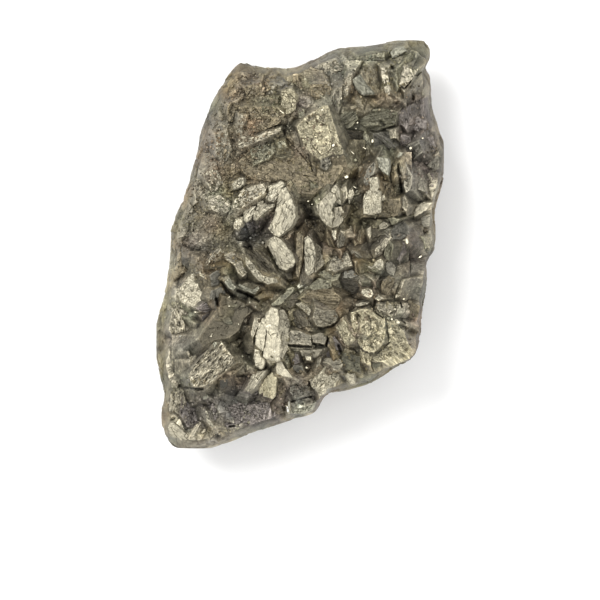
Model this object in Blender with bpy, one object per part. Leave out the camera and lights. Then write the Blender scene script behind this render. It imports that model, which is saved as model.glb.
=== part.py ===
# Pyrite specimen, lying on its back with the crystal face up.
# One solid: a lump of massive pyrite, with the blocky crystals and slabs that grew out of it.
# The frame has X to the right and Y up across the crystal face, and Z out of it.
# The resting face is at Z = 0. Lengths below are in millimetres, angles in degrees.
import math

import bmesh
import bpy
import numpy as np
from mathutils import Matrix, Vector

MM = 0.001
NAME = "pyrite_mass"

# Heights above the resting face.
RIM_HEIGHT = 11.0
FACE_HEIGHT = 23.5
BACK_DEPTH = 12.7

# The face falls away towards its sides: direction, distance where that starts, run and drop.
FALLS = [
    (180, 14.0, 12.0, 6.0),
    (0, 17.0, 11.0, 4.5),
    (90, 26.0, 14.0, 3.0),
    (125, 22.0, 12.0, 3.5),
]
SHOULDER_POWER = 7.0
BACK_POWER = 4.0

# How many sides and rings the lump has before the crystals are joined to it.
SIDES = 52
RINGS = 22
RING_SPREAD = 0.72

# Slow swells of the lump's surface. It lies this far inside the outline, which the blocks reach.
SWELL_HEIGHT = 0.6
SWELL_SIZE = 10.0
SWELL_WAVES = 7
SWELL_SEED = 4
INSET = 0.9

# Outline seen straight on to the crystal face, clockwise from the top-left corner.
OUTLINE = [
    (-12.2, 35.8), (-8.6, 35.3), (-1.8, 34.8), (3.0, 36.6), (7.6, 38.6), (13.0, 39.3), (20.4, 40.5),
    (23.8, 41.1), (26.0, 38.8), (25.2, 35.8), (26.1, 33.8), (26.6, 27.6), (28.2, 22.4), (29.0, 18.0),
    (28.6, 12.4), (27.2, 7.0), (27.1, -0.4), (25.5, -3.6), (25.5, -7.4), (24.6, -13.6), (24.0, -19.6),
    (22.8, -22.6), (19.0, -24.6), (14.6, -27.2), (9.8, -29.3), (5.6, -30.6), (3.0, -33.6), (-1.6, -34.8),
    (-8.0, -37.0), (-15.6, -39.8), (-22.0, -41.3), (-25.7, -39.4), (-27.6, -34.4), (-27.0, -30.0),
    (-28.7, -22.6), (-28.7, -15.8), (-27.0, -10.0), (-25.9, -3.0), (-25.7, 3.0), (-23.0, 9.8),
    (-20.8, 17.0), (-19.5, 23.0), (-16.6, 30.0),
]
OUTLINE_STEPS = 8

# Hollows between the crystals: centre, two radii, turn and depth.
HOLLOWS = [
    (-9.0, -31.4, 9.0, 4.2, 12, 3.6),
    (-21.0, -33.2, 3.4, 5.2, 0, 2.4),
    (-12.4, -21.6, 3.4, 4.4, 60, 3.8),
    (-9.4, 2.4, 5.4, 3.2, 20, 2.8),
    (1.4, 5.2, 3.2, 5.0, 20, 3.4),
    (15.6, 22.6, 8.5, 5.5, 12, 3.0),
    (14.6, 32.4, 2.4, 4.0, -20, 2.4),
    (-3.6, -6.8, 3.6, 2.0, -30, 2.2),
    (12.4, 2.4, 4.4, 3.6, 0, 1.8),
    (10.0, 14.4, 2.2, 5.2, -15, 2.6),
    (12.0, -14.0, 4.6, 2.2, 30, 1.6),
    (2.0, -31.6, 5.2, 2.0, 18, 1.6),
]

# Flat breaks on the sides and back: direction round the lump, dip below level, and how far out the break
# lies, as a share of the outline's own reach in that direction.
BREAKS = [
    (8, -36, 1.02), (52, -50, 0.98), (88, -34, 1.03), (128, -44, 1.0), (166, -38, 1.0),
    (204, -52, 0.98), (236, -36, 1.02), (276, -46, 1.0), (318, -40, 1.02), (340, -58, 1.05),
    (100, -62, 0.98), (262, -64, 1.0),
]

# Crystals on the face: x and y of the front face's centre, length, width, turn of the length from X,
# roll about the length, pitch, how far the front face stands above the lump, and how many plates.
CENTRE_SLABS = [
    (-3.3, 6.4, 9.6, 4.4, 83, -22, -5, 3.6, 2),
    (-4.4, 11.4, 3.4, 1.8, 12, 10, 0, 2.6, 1),
    (-10.0, 9.6, 6.8, 3.0, 25, -14, 0, 2.6, 2),
    (-12.8, 11.4, 2.0, 1.6, 20, 0, 0, 1.8, 1),
    (-5.9, 9.4, 3.4, 1.8, 88, 0, 0, 3.2, 1),
    (-11.2, 5.6, 5.0, 2.4, 38, -10, 0, 2.8, 1),
    (-8.2, 6.8, 3.8, 2.4, 30, -10, 0, 3.0, 1),
    (-3.2, -2.2, 6.2, 3.4, 113, 12, -8, 3.0, 2),
    (0.0, -2.4, 9.4, 1.3, 92, 6, 0, 2.4, 1),
    (1.9, -2.6, 7.6, 1.9, 95, 12, 0, 3.4, 1),
    (4.0, -3.4, 6.8, 3.0, 78, -24, 0, 2.4, 2),
    (-7.0, -4.4, 8.4, 3.8, -46, 34, 0, 2.2, 2),
    (8.6, -4.2, 3.8, 2.6, 25, 0, 10, 1.8, 1),
    (-3.8, -10.6, 4.4, 1.2, 40, 10, 0, 1.6, 1),
    (0.2, -9.4, 3.6, 2.4, 70, 0, 12, 1.6, 1),
    (9.8, -8.2, 3.0, 2.2, 20, 10, 0, 1.6, 1),
]
UPPER_SLABS = [
    (-1.8, 15.4, 16.0, 9.6, 8, 8, 0, 1.8, 2),
    (-8.0, 20.8, 8.6, 1.8, 20, 24, 0, 2.2, 1),
    (4.0, 21.8, 9.2, 6.8, 106, -8, 4, 3.4, 2),
    (7.0, 15.0, 8.0, 5.2, 106, 14, -4, 2.2, 1),
    (7.3, 7.8, 8.0, 4.8, 56, -12, 4, 4.0, 3),
    (9.6, 10.0, 4.0, 2.2, 60, -20, 0, 3.4, 1),
    (-2.2, 28.2, 4.8, 3.6, 95, 8, 8, 1.6, 1),
    (8.8, 29.8, 6.0, 1.5, 62, 14, 0, 2.0, 1),
    (12.2, 31.0, 4.4, 3.0, -38, 10, 0, 2.0, 1),
    (17.2, 32.2, 6.2, 1.5, 100, 16, 0, 2.4, 1),
    (20.3, 33.2, 4.6, 3.6, 62, 10, 0, 2.2, 1),
    (19.8, 38.4, 3.2, 2.0, 18, 8, 0, 1.8, 1),
    (22.6, 39.2, 3.6, 3.0, 40, 0, 12, 1.2, 1),
]
LOWER_SLABS = [
    (4.0, -12.0, 8.8, 8.0, 25, -14, 12, 2.4, 2),
    (-5.4, -17.8, 10.4, 3.2, 93, 12, 0, 4.2, 2),
    (-7.9, -18.2, 6.2, 1.8, 86, 8, 0, 3.2, 1),
    (-9.2, -17.6, 5.6, 1.1, 88, 0, 0, 2.4, 1),
    (-8.0, -22.8, 4.0, 2.0, 102, 8, 0, 3.2, 1),
    (-3.0, -24.6, 4.0, 2.2, 115, 0, -12, 3.2, 1),
    (-6.2, -28.4, 4.6, 2.8, 92, -10, 0, 3.4, 1),
    (-9.0, -27.2, 5.0, 2.4, 45, 14, 0, 2.4, 1),
    (-0.4, -18.8, 5.4, 2.4, 2, -10, 0, 2.4, 1),
    (4.0, -18.6, 3.4, 2.2, 0, -10, 0, 2.2, 1),
    (2.2, -22.0, 4.4, 2.4, -5, -20, 0, 2.0, 1),
    (6.8, -23.8, 4.0, 2.4, -10, 14, 0, 2.2, 1),
    (4.4, -27.0, 5.6, 4.8, 45, -10, 0, 3.2, 2),
    (10.0, -26.8, 2.6, 1.6, 110, 0, 0, 1.8, 1),
]
RIGHT_SLABS = [
    (16.4, 15.2, 3.4, 2.4, 85, -12, 0, 3.2, 1),
    (13.7, 13.6, 5.4, 1.7, 66, 16, 0, 2.6, 1),
    (14.2, 9.6, 7.2, 3.2, 85, 10, -6, 3.4, 2),
    (14.8, 5.6, 4.8, 1.6, -6, -24, 0, 2.6, 1),
    (16.4, 3.4, 2.6, 2.0, 0, -14, 0, 2.0, 1),
    (13.7, 2.6, 3.6, 1.2, 95, 10, 0, 1.8, 1),
    (18.0, 2.4, 6.2, 2.2, 66, -22, 0, 2.4, 1),
    (20.4, 0.6, 7.0, 2.4, 70, -26, 0, 2.8, 1),
    (22.6, -1.2, 6.2, 2.2, 76, -26, 0, 2.6, 1),
    (21.4, 12.8, 6.4, 2.4, 80, -16, 0, 2.0, 1),
    (25.6, 11.4, 4.6, 2.6, 80, -18, 0, 1.8, 1),
    (23.4, 7.0, 3.6, 2.6, 10, 0, 10, 1.8, 1),
    (15.2, -4.2, 3.4, 2.8, -20, -10, 0, 2.2, 1),
    (13.4, -9.8, 3.0, 2.0, -10, 0, -10, 2.0, 1),
    (15.8, -10.6, 1.8, 1.4, 0, 0, 0, 2.0, 1),
]
LEFT_SLABS = [
    (-12.2, -4.6, 4.6, 3.0, -42, 16, 0, 2.4, 1),
    (-20.6, -9.4, 6.4, 5.0, 52, -12, 0, 2.6, 2),
    (-16.0, -7.8, 7.0, 4.6, 30, -20, 0, 1.6, 1),
    (-14.0, -8.0, 2.6, 1.6, -55, 0, 0, 2.4, 1),
    (-10.4, -8.8, 4.2, 2.6, -20, -12, 0, 2.2, 1),
    (-13.6, -13.6, 8.6, 4.0, 55, -24, 0, 2.4, 2),
    (-16.2, -23.6, 7.4, 6.0, 40, -14, -6, 2.8, 2),
    (-20.6, -26.2, 4.4, 3.6, 30, -10, 0, 2.0, 1),
    (-24.0, -36.6, 4.0, 2.4, -38, 0, 0, 1.6, 1),
    (-18.6, -38.4, 5.6, 2.4, 12, -16, 0, 1.4, 1),
    (-21.9, -39.8, 4.2, 2.4, -8, 0, -8, 1.2, 1),
]

# A slab is rooted this far below the lump's face.
ROOT_DEPTH = 4.0
# Each further plate is this much thinner in outline, lower and slid along, as shares of the slab.
PLATE_SHARE = 0.94
PLATE_STEP = 0.7
PLATE_SLIDE = 0.16

# Small blocks that fill the face between the slabs, and larger ones on the sides and back.
FILLER = {"count": 60, "seed": 11, "small": 2.2, "large": 4.4, "stands": 1.0, "lean": 26}
SIDE = {"count": 64, "seed": 23, "small": 5.5, "large": 11.0, "stands": 1.0, "lean": 12}
SIDE_RISE = (-62.0, 24.0)
REST_CLEARANCE = 0.4


def clear_scene():
    for item in list(bpy.data.objects):
        bpy.data.objects.remove(item, do_unlink=True)


def new_collection(name):
    collection = bpy.data.collections.new(name)
    bpy.context.scene.collection.children.link(collection)
    return collection


def smooth_closed(points, steps):
    # Catmull-Rom curve through the points.
    p = np.asarray(points, dtype=float)
    before, after, beyond = np.roll(p, 1, 0), np.roll(p, -1, 0), np.roll(p, -2, 0)
    t = np.linspace(0.0, 1.0, steps, endpoint=False)[None, :, None]
    linear = (after - before)[:, None] * t
    square = (2 * before - 5 * p + 4 * after - beyond)[:, None] * t ** 2
    cube = (3 * p - before - 3 * after + beyond)[:, None] * t ** 3
    return (0.5 * (2 * p[:, None] + linear + square + cube)).reshape(-1, 2)


def outline_radius(angle):
    # Distance from the centre to the outline, for each angle.
    curve = smooth_closed(OUTLINE, OUTLINE_STEPS)
    bearing = np.arctan2(curve[:, 1], curve[:, 0])
    order = np.argsort(bearing)
    radius = np.hypot(curve[:, 0], curve[:, 1])
    return np.interp(angle, bearing[order], radius[order], period=2 * math.pi)


def outline_reach(turn):
    # How far the outline reaches in one direction.
    curve = smooth_closed(OUTLINE, OUTLINE_STEPS)
    return float(np.max(curve @ np.array([math.cos(turn), math.sin(turn)])))


def smooth_step(value):
    t = np.clip(value, 0.0, 1.0)
    return t * t * (3.0 - 2.0 * t)


def hollow_depth(x, y):
    # Sum of the round-bottomed hollows at each place.
    depth = np.zeros_like(x)
    for centre_x, centre_y, radius_x, radius_y, turn, deep in HOLLOWS:
        c, s = math.cos(math.radians(turn)), math.sin(math.radians(turn))
        along = ((x - centre_x) * c + (y - centre_y) * s) / radius_x
        across = ((y - centre_y) * c - (x - centre_x) * s) / radius_y
        depth = depth + deep * np.exp(-(along ** 2 + across ** 2) ** 1.5)
    return depth


def swells(points):
    # A sum of slow waves in seeded directions, between about -1 and 1.
    rng = np.random.default_rng(SWELL_SEED)
    total = np.zeros(len(points))
    for _ in range(SWELL_WAVES):
        direction = rng.normal(size=3)
        direction *= 2 * math.pi / (SWELL_SIZE * rng.uniform(0.7, 1.6) * np.linalg.norm(direction))
        total += np.sin(points @ direction + rng.uniform(0, 2 * math.pi))
    return total / math.sqrt(SWELL_WAVES)


def face_level(x, y):
    # Height of the lump's crystal face.
    rho = np.hypot(x, y) / outline_radius(np.arctan2(y, x))
    level = FACE_HEIGHT - hollow_depth(x, y)
    for bearing, start, run, drop in FALLS:
        turn = math.radians(bearing)
        out = x * math.cos(turn) + y * math.sin(turn)
        level = level - drop * smooth_step((out - start) / run)
    shoulder = np.sqrt(np.clip(1.0 - rho ** SHOULDER_POWER, 0.0, 1.0))
    return RIM_HEIGHT + (level - RIM_HEIGHT) * shoulder


def lump_points(directions):
    # Places of the lump's surface for points of a unit sphere.
    angle = np.arctan2(directions[:, 1], directions[:, 0])
    spread = np.hypot(directions[:, 0], directions[:, 1]) ** RING_SPREAD
    radius = outline_radius(angle) * spread
    x, y = radius * np.cos(angle), radius * np.sin(angle)
    back = RIM_HEIGHT - BACK_DEPTH * np.sqrt(np.clip(1.0 - spread ** BACK_POWER, 0.0, 1.0))
    z = np.where(directions[:, 2] > 0.0, face_level(x, y), back)
    points = np.stack([x, y, z], axis=1)
    centre = np.array([0.0, 0.0, RIM_HEIGHT])
    inward = centre - points
    inward /= np.maximum(np.linalg.norm(inward, axis=1, keepdims=True), 1e-6)
    points += inward * (INSET + SWELL_HEIGHT * swells(points))[:, None]
    return np.where(points[:, 2:] < 0.0, points * (1.0, 1.0, 0.0), flatten(points, centre))


def flatten(points, centre):
    # Bring what stands outside each break back to its plane.
    for bearing, dip, share in BREAKS:
        turn, fall = math.radians(bearing), math.radians(dip)
        level = math.cos(fall)
        normal = np.array([math.cos(turn) * level, math.sin(turn) * level, math.sin(fall)])
        reach = share * outline_reach(turn) * level
        beyond = np.maximum((points - centre) @ normal - reach, 0.0)
        points = points - beyond[:, None] * normal
    return points


def make_lump(collection):
    mesh = bpy.data.meshes.new(NAME)
    shape = bmesh.new()
    bmesh.ops.create_uvsphere(shape, u_segments=SIDES, v_segments=RINGS, radius=1.0)
    directions = np.array([vertex.co[:] for vertex in shape.verts])
    for vertex, place in zip(shape.verts, lump_points(directions)):
        vertex.co = Vector(place) * MM
    rest_flat(shape)
    bmesh.ops.triangulate(shape, faces=shape.faces, quad_method="SHORT_EDGE")
    bmesh.ops.recalc_face_normals(shape, faces=shape.faces)
    shape.to_mesh(mesh)
    shape.free()
    item = bpy.data.objects.new(NAME, mesh)
    collection.objects.link(item)
    return item


def rest_flat(shape):
    # The resting face is level at zero.
    for vertex in shape.verts:
        vertex.co.z = max(vertex.co.z, 0.0)


def add_block(collection, size, place, turning):
    # One crystal: a cube with its size and place in its mesh.
    mesh = bpy.data.meshes.new("crystal")
    shape = bmesh.new()
    scale = Matrix.Diagonal((size[0] * MM, size[1] * MM, size[2] * MM, 1.0))
    bmesh.ops.create_cube(shape, size=1.0, matrix=Matrix.Translation(Vector(place) * MM) @ turning @ scale)
    shape.to_mesh(mesh)
    shape.free()
    item = bpy.data.objects.new("crystal", mesh)
    item.display_type = "WIRE"
    item.hide_render = True
    collection.objects.link(item)


def turned(turn, roll, pitch):
    about_z = Matrix.Rotation(math.radians(turn), 4, "Z")
    about_y = Matrix.Rotation(math.radians(pitch), 4, "Y")
    about_x = Matrix.Rotation(math.radians(roll), 4, "X")
    return about_z @ about_y @ about_x


def add_slab(collection, slab):
    # A slab's plates lie on each other, each smaller and slid along from the one below.
    x, y, length, width, turn, roll, pitch, stands, plates = slab
    turning = turned(turn, roll, pitch)
    outward = turning.to_3x3() @ Vector((0.0, 0.0, 1.0))
    along = turning.to_3x3() @ Vector((1.0, 0.0, 0.0))
    level = float(face_level(np.array([x]), np.array([y]))[0])
    front = Vector((x, y, level + stands))
    for plate in range(plates):
        share = PLATE_SHARE ** (plates - 1 - plate)
        slide = along * length * PLATE_SLIDE * plate
        top = front - outward * PLATE_STEP * plate - slide
        depth = stands + ROOT_DEPTH - PLATE_STEP * plate
        size = np.array([length * share * (1.0 - PLATE_SLIDE * plate), width * share, depth])
        middle = np.array(top - outward * depth / 2.0)
        add_block(collection, size, kept_inside(middle, size, turning), turning)


def kept_inside(middle, size, turning):
    # Move a block in until no corner stands outside the outline, and up until it clears the resting face.
    signs = np.array([(a, b, c) for a in (-1, 1) for b in (-1, 1) for c in (-1, 1)])
    corners = (signs * size / 2.0) @ np.array(turning.to_3x3()).T
    for _ in range(4):
        places = middle + corners
        beyond = np.hypot(places[:, 0], places[:, 1])
        beyond -= outline_radius(np.arctan2(places[:, 1], places[:, 0]))
        inward = -middle[:2] / np.linalg.norm(middle[:2])
        middle = middle + np.append(inward * max(beyond.max(), 0.0), 0.0)
    lowest = (middle + corners)[:, 2].min()
    return middle + np.array([0.0, 0.0, max(REST_CLEARANCE - lowest, 0.0)])


def add_fillers(collection):
    rng = np.random.default_rng(FILLER["seed"])
    for _ in range(FILLER["count"]):
        angle = rng.uniform(0, 2 * math.pi)
        radius = outline_radius(angle) * 0.88 * math.sqrt(rng.uniform(0.0, 1.0))
        x, y = radius * math.cos(angle), radius * math.sin(angle)
        size = rng.uniform(FILLER["small"], FILLER["large"], 3)
        level = float(face_level(np.array([x]), np.array([y]))[0])
        lean = rng.uniform(-FILLER["lean"], FILLER["lean"], 2)
        turning = turned(rng.uniform(0, 180), lean[0], lean[1])
        middle = np.array([x, y, level + FILLER["stands"] - size[2] / 2.0])
        add_block(collection, size, kept_inside(middle, size, turning), turning)


def add_side_blocks(collection):
    rng = np.random.default_rng(SIDE["seed"])
    centre = np.array([0.0, 0.0, RIM_HEIGHT])
    for number in range(SIDE["count"]):
        bearing = 2 * math.pi * (number + rng.uniform(0.0, 1.0)) / SIDE["count"]
        rise = math.radians(rng.uniform(*SIDE_RISE))
        direction = np.array([[math.cos(bearing) * math.cos(rise), math.sin(bearing) * math.cos(rise),
                               math.sin(rise)]])
        place = lump_points(direction)[0]
        size = rng.uniform(SIDE["small"], SIDE["large"], 3)
        outward = place - centre
        outward /= np.linalg.norm(outward)
        lean = rng.uniform(-SIDE["lean"], SIDE["lean"], 2)
        facing = Vector(outward).to_track_quat("Z", "Y").to_matrix().to_4x4()
        turning = facing @ turned(rng.uniform(0, 180), lean[0], lean[1])
        middle = kept_inside(place + outward * (SIDE["stands"] - size[2] / 2.0), size, turning)
        add_block(collection, size, middle, turning)


def join(item, collection):
    # Join the crystals to the lump and keep the result as its mesh.
    union = item.modifiers.new("grown together", "BOOLEAN")
    union.operation = "UNION"
    union.operand_type = "COLLECTION"
    union.collection = collection
    union.solver = "EXACT"
    graph = bpy.context.evaluated_depsgraph_get()
    joined = bpy.data.meshes.new_from_object(item.evaluated_get(graph))
    item.modifiers.clear()
    item.data = joined
    keep_outer_shell(joined)


def keep_outer_shell(mesh):
    # Crystals that lean together can close off a void: only the largest shell stays.
    shape = bmesh.new()
    shape.from_mesh(mesh)
    waiting = set(shape.verts)
    shells = []
    while waiting:
        shell = {waiting.pop()}
        edge_of_shell = set(shell)
        while edge_of_shell:
            found = {edge.other_vert(v) for v in edge_of_shell for edge in v.link_edges} - shell
            shell |= found
            edge_of_shell = found
        waiting -= shell
        shells.append(shell)
    shells.sort(key=len)
    for shell in shells[:-1]:
        bmesh.ops.delete(shape, geom=list(shell), context="VERTS")
    shape.to_mesh(mesh)
    shape.free()


def centre_over_origin(mesh):
    # The origin is the middle of the lump's box, on the resting face.
    places = np.array([vertex.co[:] for vertex in mesh.vertices])
    middle = (places.min(0) + places.max(0)) / 2.0
    mesh.transform(Matrix.Translation((-middle[0], -middle[1], 0.0)))


def pyrite():
    material = bpy.data.materials.new("tarnished pyrite")
    material.use_nodes = True
    shader = material.node_tree.nodes["Principled BSDF"]
    shader.inputs["Base Color"].default_value = (0.27, 0.235, 0.16, 1.0)
    shader.inputs["Metallic"].default_value = 0.35
    shader.inputs["Roughness"].default_value = 0.6
    return material


def build():
    clear_scene()
    specimen = new_collection("pyrite_specimen")
    crystals = new_collection("crystals")
    lump = make_lump(specimen)
    for slab in CENTRE_SLABS + UPPER_SLABS + LOWER_SLABS + RIGHT_SLABS + LEFT_SLABS:
        add_slab(crystals, slab)
    add_fillers(crystals)
    add_side_blocks(crystals)
    join(lump, crystals)
    centre_over_origin(lump.data)
    lump.data.materials.append(pyrite())


build()
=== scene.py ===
# Pyrite specimen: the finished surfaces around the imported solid.
# Lengths are in millimetres until they are put into a mesh, where mm turns them to metres.
import math

import bpy
import numpy as np
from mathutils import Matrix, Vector


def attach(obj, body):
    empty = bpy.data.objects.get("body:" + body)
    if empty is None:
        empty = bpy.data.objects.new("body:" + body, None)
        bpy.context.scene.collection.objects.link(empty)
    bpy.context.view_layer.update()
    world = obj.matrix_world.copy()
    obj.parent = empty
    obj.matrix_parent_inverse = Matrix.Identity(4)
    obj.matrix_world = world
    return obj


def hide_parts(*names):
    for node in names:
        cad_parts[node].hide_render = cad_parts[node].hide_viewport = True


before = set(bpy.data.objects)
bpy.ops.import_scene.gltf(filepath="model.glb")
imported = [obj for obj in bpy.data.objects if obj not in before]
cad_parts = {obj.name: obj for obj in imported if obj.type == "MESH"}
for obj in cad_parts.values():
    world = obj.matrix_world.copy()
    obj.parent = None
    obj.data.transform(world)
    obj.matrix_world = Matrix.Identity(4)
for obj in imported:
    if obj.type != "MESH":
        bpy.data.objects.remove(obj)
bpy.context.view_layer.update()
mm = 0.001
body = "root"
node = "pyrite_mass"


def cornersOf(tenths):
    # Corners in millimetres of an outline listed as x and y in turn, in tenths of a millimetre.
    return np.array(tenths).reshape(-1, 2) / 10.0


# The lump itself, in the same words as the solid: heights above the resting face.
lump = {
    "rimHeight": 11.0, "faceHeight": 23.5, "backDepth": 12.7,
    "shoulderPower": 7.0, "backPower": 4.0, "inset": 0.14, "thick": 1.8,
    "fitX": 28.86, "fitY": 40.94, "fitZ": 27.99,
}

# The lump's bands from the middle of the face outwards: where each starts and ends as a share of the
# outline, and its number of columns and rows.
bands = {
    "faceCore": (0.0, 0.26, 480, 76), "faceInner": (0.258, 0.46, 850, 60),
    "faceMiddle": (0.458, 0.62, 1140, 49), "faceOuter": (0.618, 0.76, 1390, 43),
    "faceEdge": (0.758, 0.88, 1610, 37), "faceShoulder": (0.878, 0.93, 1500, 16),
}

# The rim and back: columns, rows in front and behind, the share of the outline that it covers in front,
# and how far its hidden upper pole stands over the rim.
rimBand = {"columns": 1000, "faceRows": 30, "backRows": 66, "share": 0.072, "poleRise": 4.0}

# Outline seen straight on to the crystal face, clockwise from the top-left corner, in tenths.
outline = cornersOf([-125,362, -86,360, -18,355, 30,374, 76,394, 130,399, 186,409, 226,416, 246,412,
    261,394, 261,374, 254,356, 262,336, 267,276, 283,224, 296,184, 287,124, 273,70, 272,-4, 256,-36,
    256,-74, 247,-136, 241,-196, 229,-228, 191,-250, 148,-277, 98,-293, 53,-304, 29,-338, -16,-353,
    -80,-375, -157,-403, -224,-420, -263,-399, -281,-347, -274,-302, -290,-228, -290,-159, -274,-101,
    -262,-30, -260,30, -233,99, -211,172, -198,232, -169,302])

# Where the face falls away: direction, distance where that starts, run and drop.
falls = [(180, 14.0, 12.0, 6.0), (0, 17.0, 11.0, 4.5), (90, 26.0, 14.0, 3.0), (125, 22.0, 12.0, 3.5)]

# Hollows between the crystals: centre, two radii, turn and depth.
hollows = [
    (-9.0, -31.4, 9.0, 4.2, 12, 3.6), (-21.0, -33.2, 3.4, 5.2, 0, 2.4), (-12.4, -21.6, 3.4, 4.4, 60, 3.8),
    (-9.4, 2.4, 5.4, 3.2, 20, 2.8), (1.4, 5.2, 3.2, 5.0, 20, 3.4), (15.6, 22.6, 8.5, 5.5, 12, 3.0),
    (14.6, 32.4, 2.4, 4.0, -20, 2.4), (-3.6, -6.8, 3.6, 2.0, -30, 2.2), (12.4, 2.4, 4.4, 3.6, 0, 1.8),
    (10.0, 14.4, 2.2, 5.2, -15, 2.6), (12.0, -14.0, 4.6, 2.2, 30, 1.6), (2.0, -31.6, 5.2, 2.0, 18, 1.6),
]

# Flat breaks on the sides and back: direction, dip and reach.
breaks = [
    (8, -36, 1.02), (52, -50, 1.02), (88, -34, 1.03), (128, -44, 1.02), (166, -38, 1.02),
    (204, -52, 1.02), (236, -36, 1.02), (276, -46, 1.02), (318, -40, 1.02), (340, -58, 1.05),
    (100, -62, 1.02), (262, -64, 1.02),
]

# Tarnish colours of pyrite, as sRGB, which carry painted light as well: the pale ones are partly a painted
# reflection of faces that catch the light, and the dark ones partly painted shade.
tints = {
    "cream": "#B6AF99", "brass": "#AEA68B", "tan": "#878170", "brown": "#6D6450", "grey": "#6A665A",
    "violet": "#68625C", "slate": "#5F5C52", "dark": "#5E5849", "olive": "#686554", "pale": "#8E8C7C",
    "straw": "#AEA68B", "ink": "#5D5C5C",
}


def smoothClosed(points, steps):
    # Catmull-Rom curve through the points of a closed outline.
    p = np.asarray(points, dtype=float)
    before, after, beyond = np.roll(p, 1, 0), np.roll(p, -1, 0), np.roll(p, -2, 0)
    t = np.linspace(0.0, 1.0, steps, endpoint=False)[None, :, None]
    linear = (after - before)[:, None] * t
    square = (2 * before - 5 * p + 4 * after - beyond)[:, None] * t ** 2
    cube = (3 * p - before - 3 * after + beyond)[:, None] * t ** 3
    return (0.5 * (2 * p[:, None] + linear + square + cube)).reshape(-1, 2)


outlineCurve = smoothClosed(outline, 8)
outlineBearing = np.arctan2(outlineCurve[:, 1], outlineCurve[:, 0])
outlineOrder = np.argsort(outlineBearing)
outlineReach = np.hypot(outlineCurve[:, 0], outlineCurve[:, 1])


def outlineRadius(angle):
    # Distance from the centre to the outline, for each angle.
    return np.interp(angle, outlineBearing[outlineOrder], outlineReach[outlineOrder], period=2 * math.pi)


def smoothStep(value):
    # From 0 to 1 by three times the square less twice the cube.
    t = np.clip(value, 0.0, 1.0)
    return t * t * (3.0 - 2.0 * t)


def onPlane(x, y):
    # The points (x, y, 0), which the noises read.
    return np.stack([x, y, x * 0], axis=1)


def ellipse(x, y, centreX, centreY, radiusX, radiusY, turn):
    # Square of the distance from the centre, counted in the radii along and across the turn.
    c, s = math.cos(math.radians(turn)), math.sin(math.radians(turn))
    along = ((x - centreX) * c + (y - centreY) * s) / radiusX
    across = ((y - centreY) * c - (x - centreX) * s) / radiusY
    return along ** 2 + across ** 2


def patchWeight(x, y, patch):
    # One inside the ellipse that the patch starts with, fading to nothing outside it.
    return np.exp(-ellipse(x, y, *patch[:5]) ** 2)


def hashed(ix, iy, iz, seed):
    # A repeatable number from 0 to 1 for each whole-numbered lattice point.
    h = (ix.astype(np.int64) * 374761393 + iy.astype(np.int64) * 668265263
         + iz.astype(np.int64) * 2147483647 + seed * 974634777) & 0xFFFFFFFF
    h = ((h ^ (h >> 13)) * 1274126177) & 0xFFFFFFFF
    h = ((h ^ (h >> 16)) * 2246822519) & 0xFFFFFFFF
    return ((h ^ (h >> 15)) & 0xFFFFFF) / float(0xFFFFFF)


def valueNoise(p, seed):
    # Lattice values blended by a smooth step along each axis, from -1 to 1.
    base = np.floor(p)
    f = smoothStep(p - base)
    i = base.astype(np.int64)
    total = np.zeros(len(p))
    for corner in range(8):
        dx, dy, dz = corner & 1, (corner >> 1) & 1, corner >> 2
        weight = (f[:, 0] if dx else 1 - f[:, 0]) * (f[:, 1] if dy else 1 - f[:, 1])
        weight = weight * (f[:, 2] if dz else 1 - f[:, 2])
        total += weight * hashed(i[:, 0] + dx, i[:, 1] + dy, i[:, 2] + dz, seed)
    return total * 2.0 - 1.0


def layeredNoise(p, octaves, seed):
    # Each octave is twice as fine and half as strong as the one before.
    total, strength, reach = np.zeros(len(p)), 1.0, 0.0
    for octave in range(octaves):
        total += strength * valueNoise(p * 2.0 ** octave + 17.3 * octave, seed + octave)
        reach += strength
        strength *= 0.5
    return total / reach


def nearestCells(p, seed, flat=False):
    # For each point: distances to the two nearest seeds of a jittered lattice, the offset from the
    # nearest, and three numbers that belong to it.
    base = np.floor(p).astype(np.int64)
    first = np.full(len(p), 9.0)
    second = np.full(len(p), 9.0)
    offset = np.zeros_like(p)
    own = np.zeros_like(p)
    for step in range(9 if flat else 27):
        cell = base + np.array([step % 3 - 1, (step // 3) % 3 - 1, 0 if flat else step // 9 - 1])
        place = [cell[:, k] + hashed(cell[:, 0], cell[:, 1], cell[:, 2], seed + 11 * k + 1) for k in range(3)]
        away = p - np.stack(place, axis=1)
        if flat:
            away[:, 2] = 0.0
        distance = np.sqrt((away ** 2).sum(1))
        closer = distance < first
        second = np.where(closer, first, np.minimum(second, distance))
        first = np.where(closer, distance, first)
        offset[closer] = away[closer]
        for k in range(3):
            value = hashed(cell[:, 0], cell[:, 1], cell[:, 2], seed + 57 + 13 * k)
            own[closer, k] = value[closer]
    return first, second, offset, own


def brokenRelief(p, size, seed, rise, slope):
    # Every cell of the lattice is one flat break, with its own height and its own tilt.
    first, second, offset, own = nearestCells(p / size, seed)
    lean = own * 2.0 - 1.0
    flat = (own[:, 0] + own[:, 1] - 1.0) * rise
    return flat + slope * size * (offset * lean).sum(1), second - first


def faceLevel(x, y):
    # Height of the lump's face: a plateau less its falls and hollows, brought down at the shoulder.
    rho = np.hypot(x, y) / outlineRadius(np.arctan2(y, x))
    level = np.full_like(x, lump["faceHeight"])
    for hollow in hollows:
        level = level - hollow[5] * np.exp(-ellipse(x, y, *hollow[:5]) ** 1.5)
    for bearing, start, run, drop in falls:
        out = x * math.cos(math.radians(bearing)) + y * math.sin(math.radians(bearing))
        level = level - drop * smoothStep((out - start) / run)
    shoulder = np.sqrt(np.clip(1.0 - rho ** lump["shoulderPower"], 0.0, 1.0))
    return lump["rimHeight"] + (level - lump["rimHeight"]) * shoulder


def levelAt(place):
    # The same height at one place.
    return float(faceLevel(place[:1], place[1:])[0])


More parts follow.
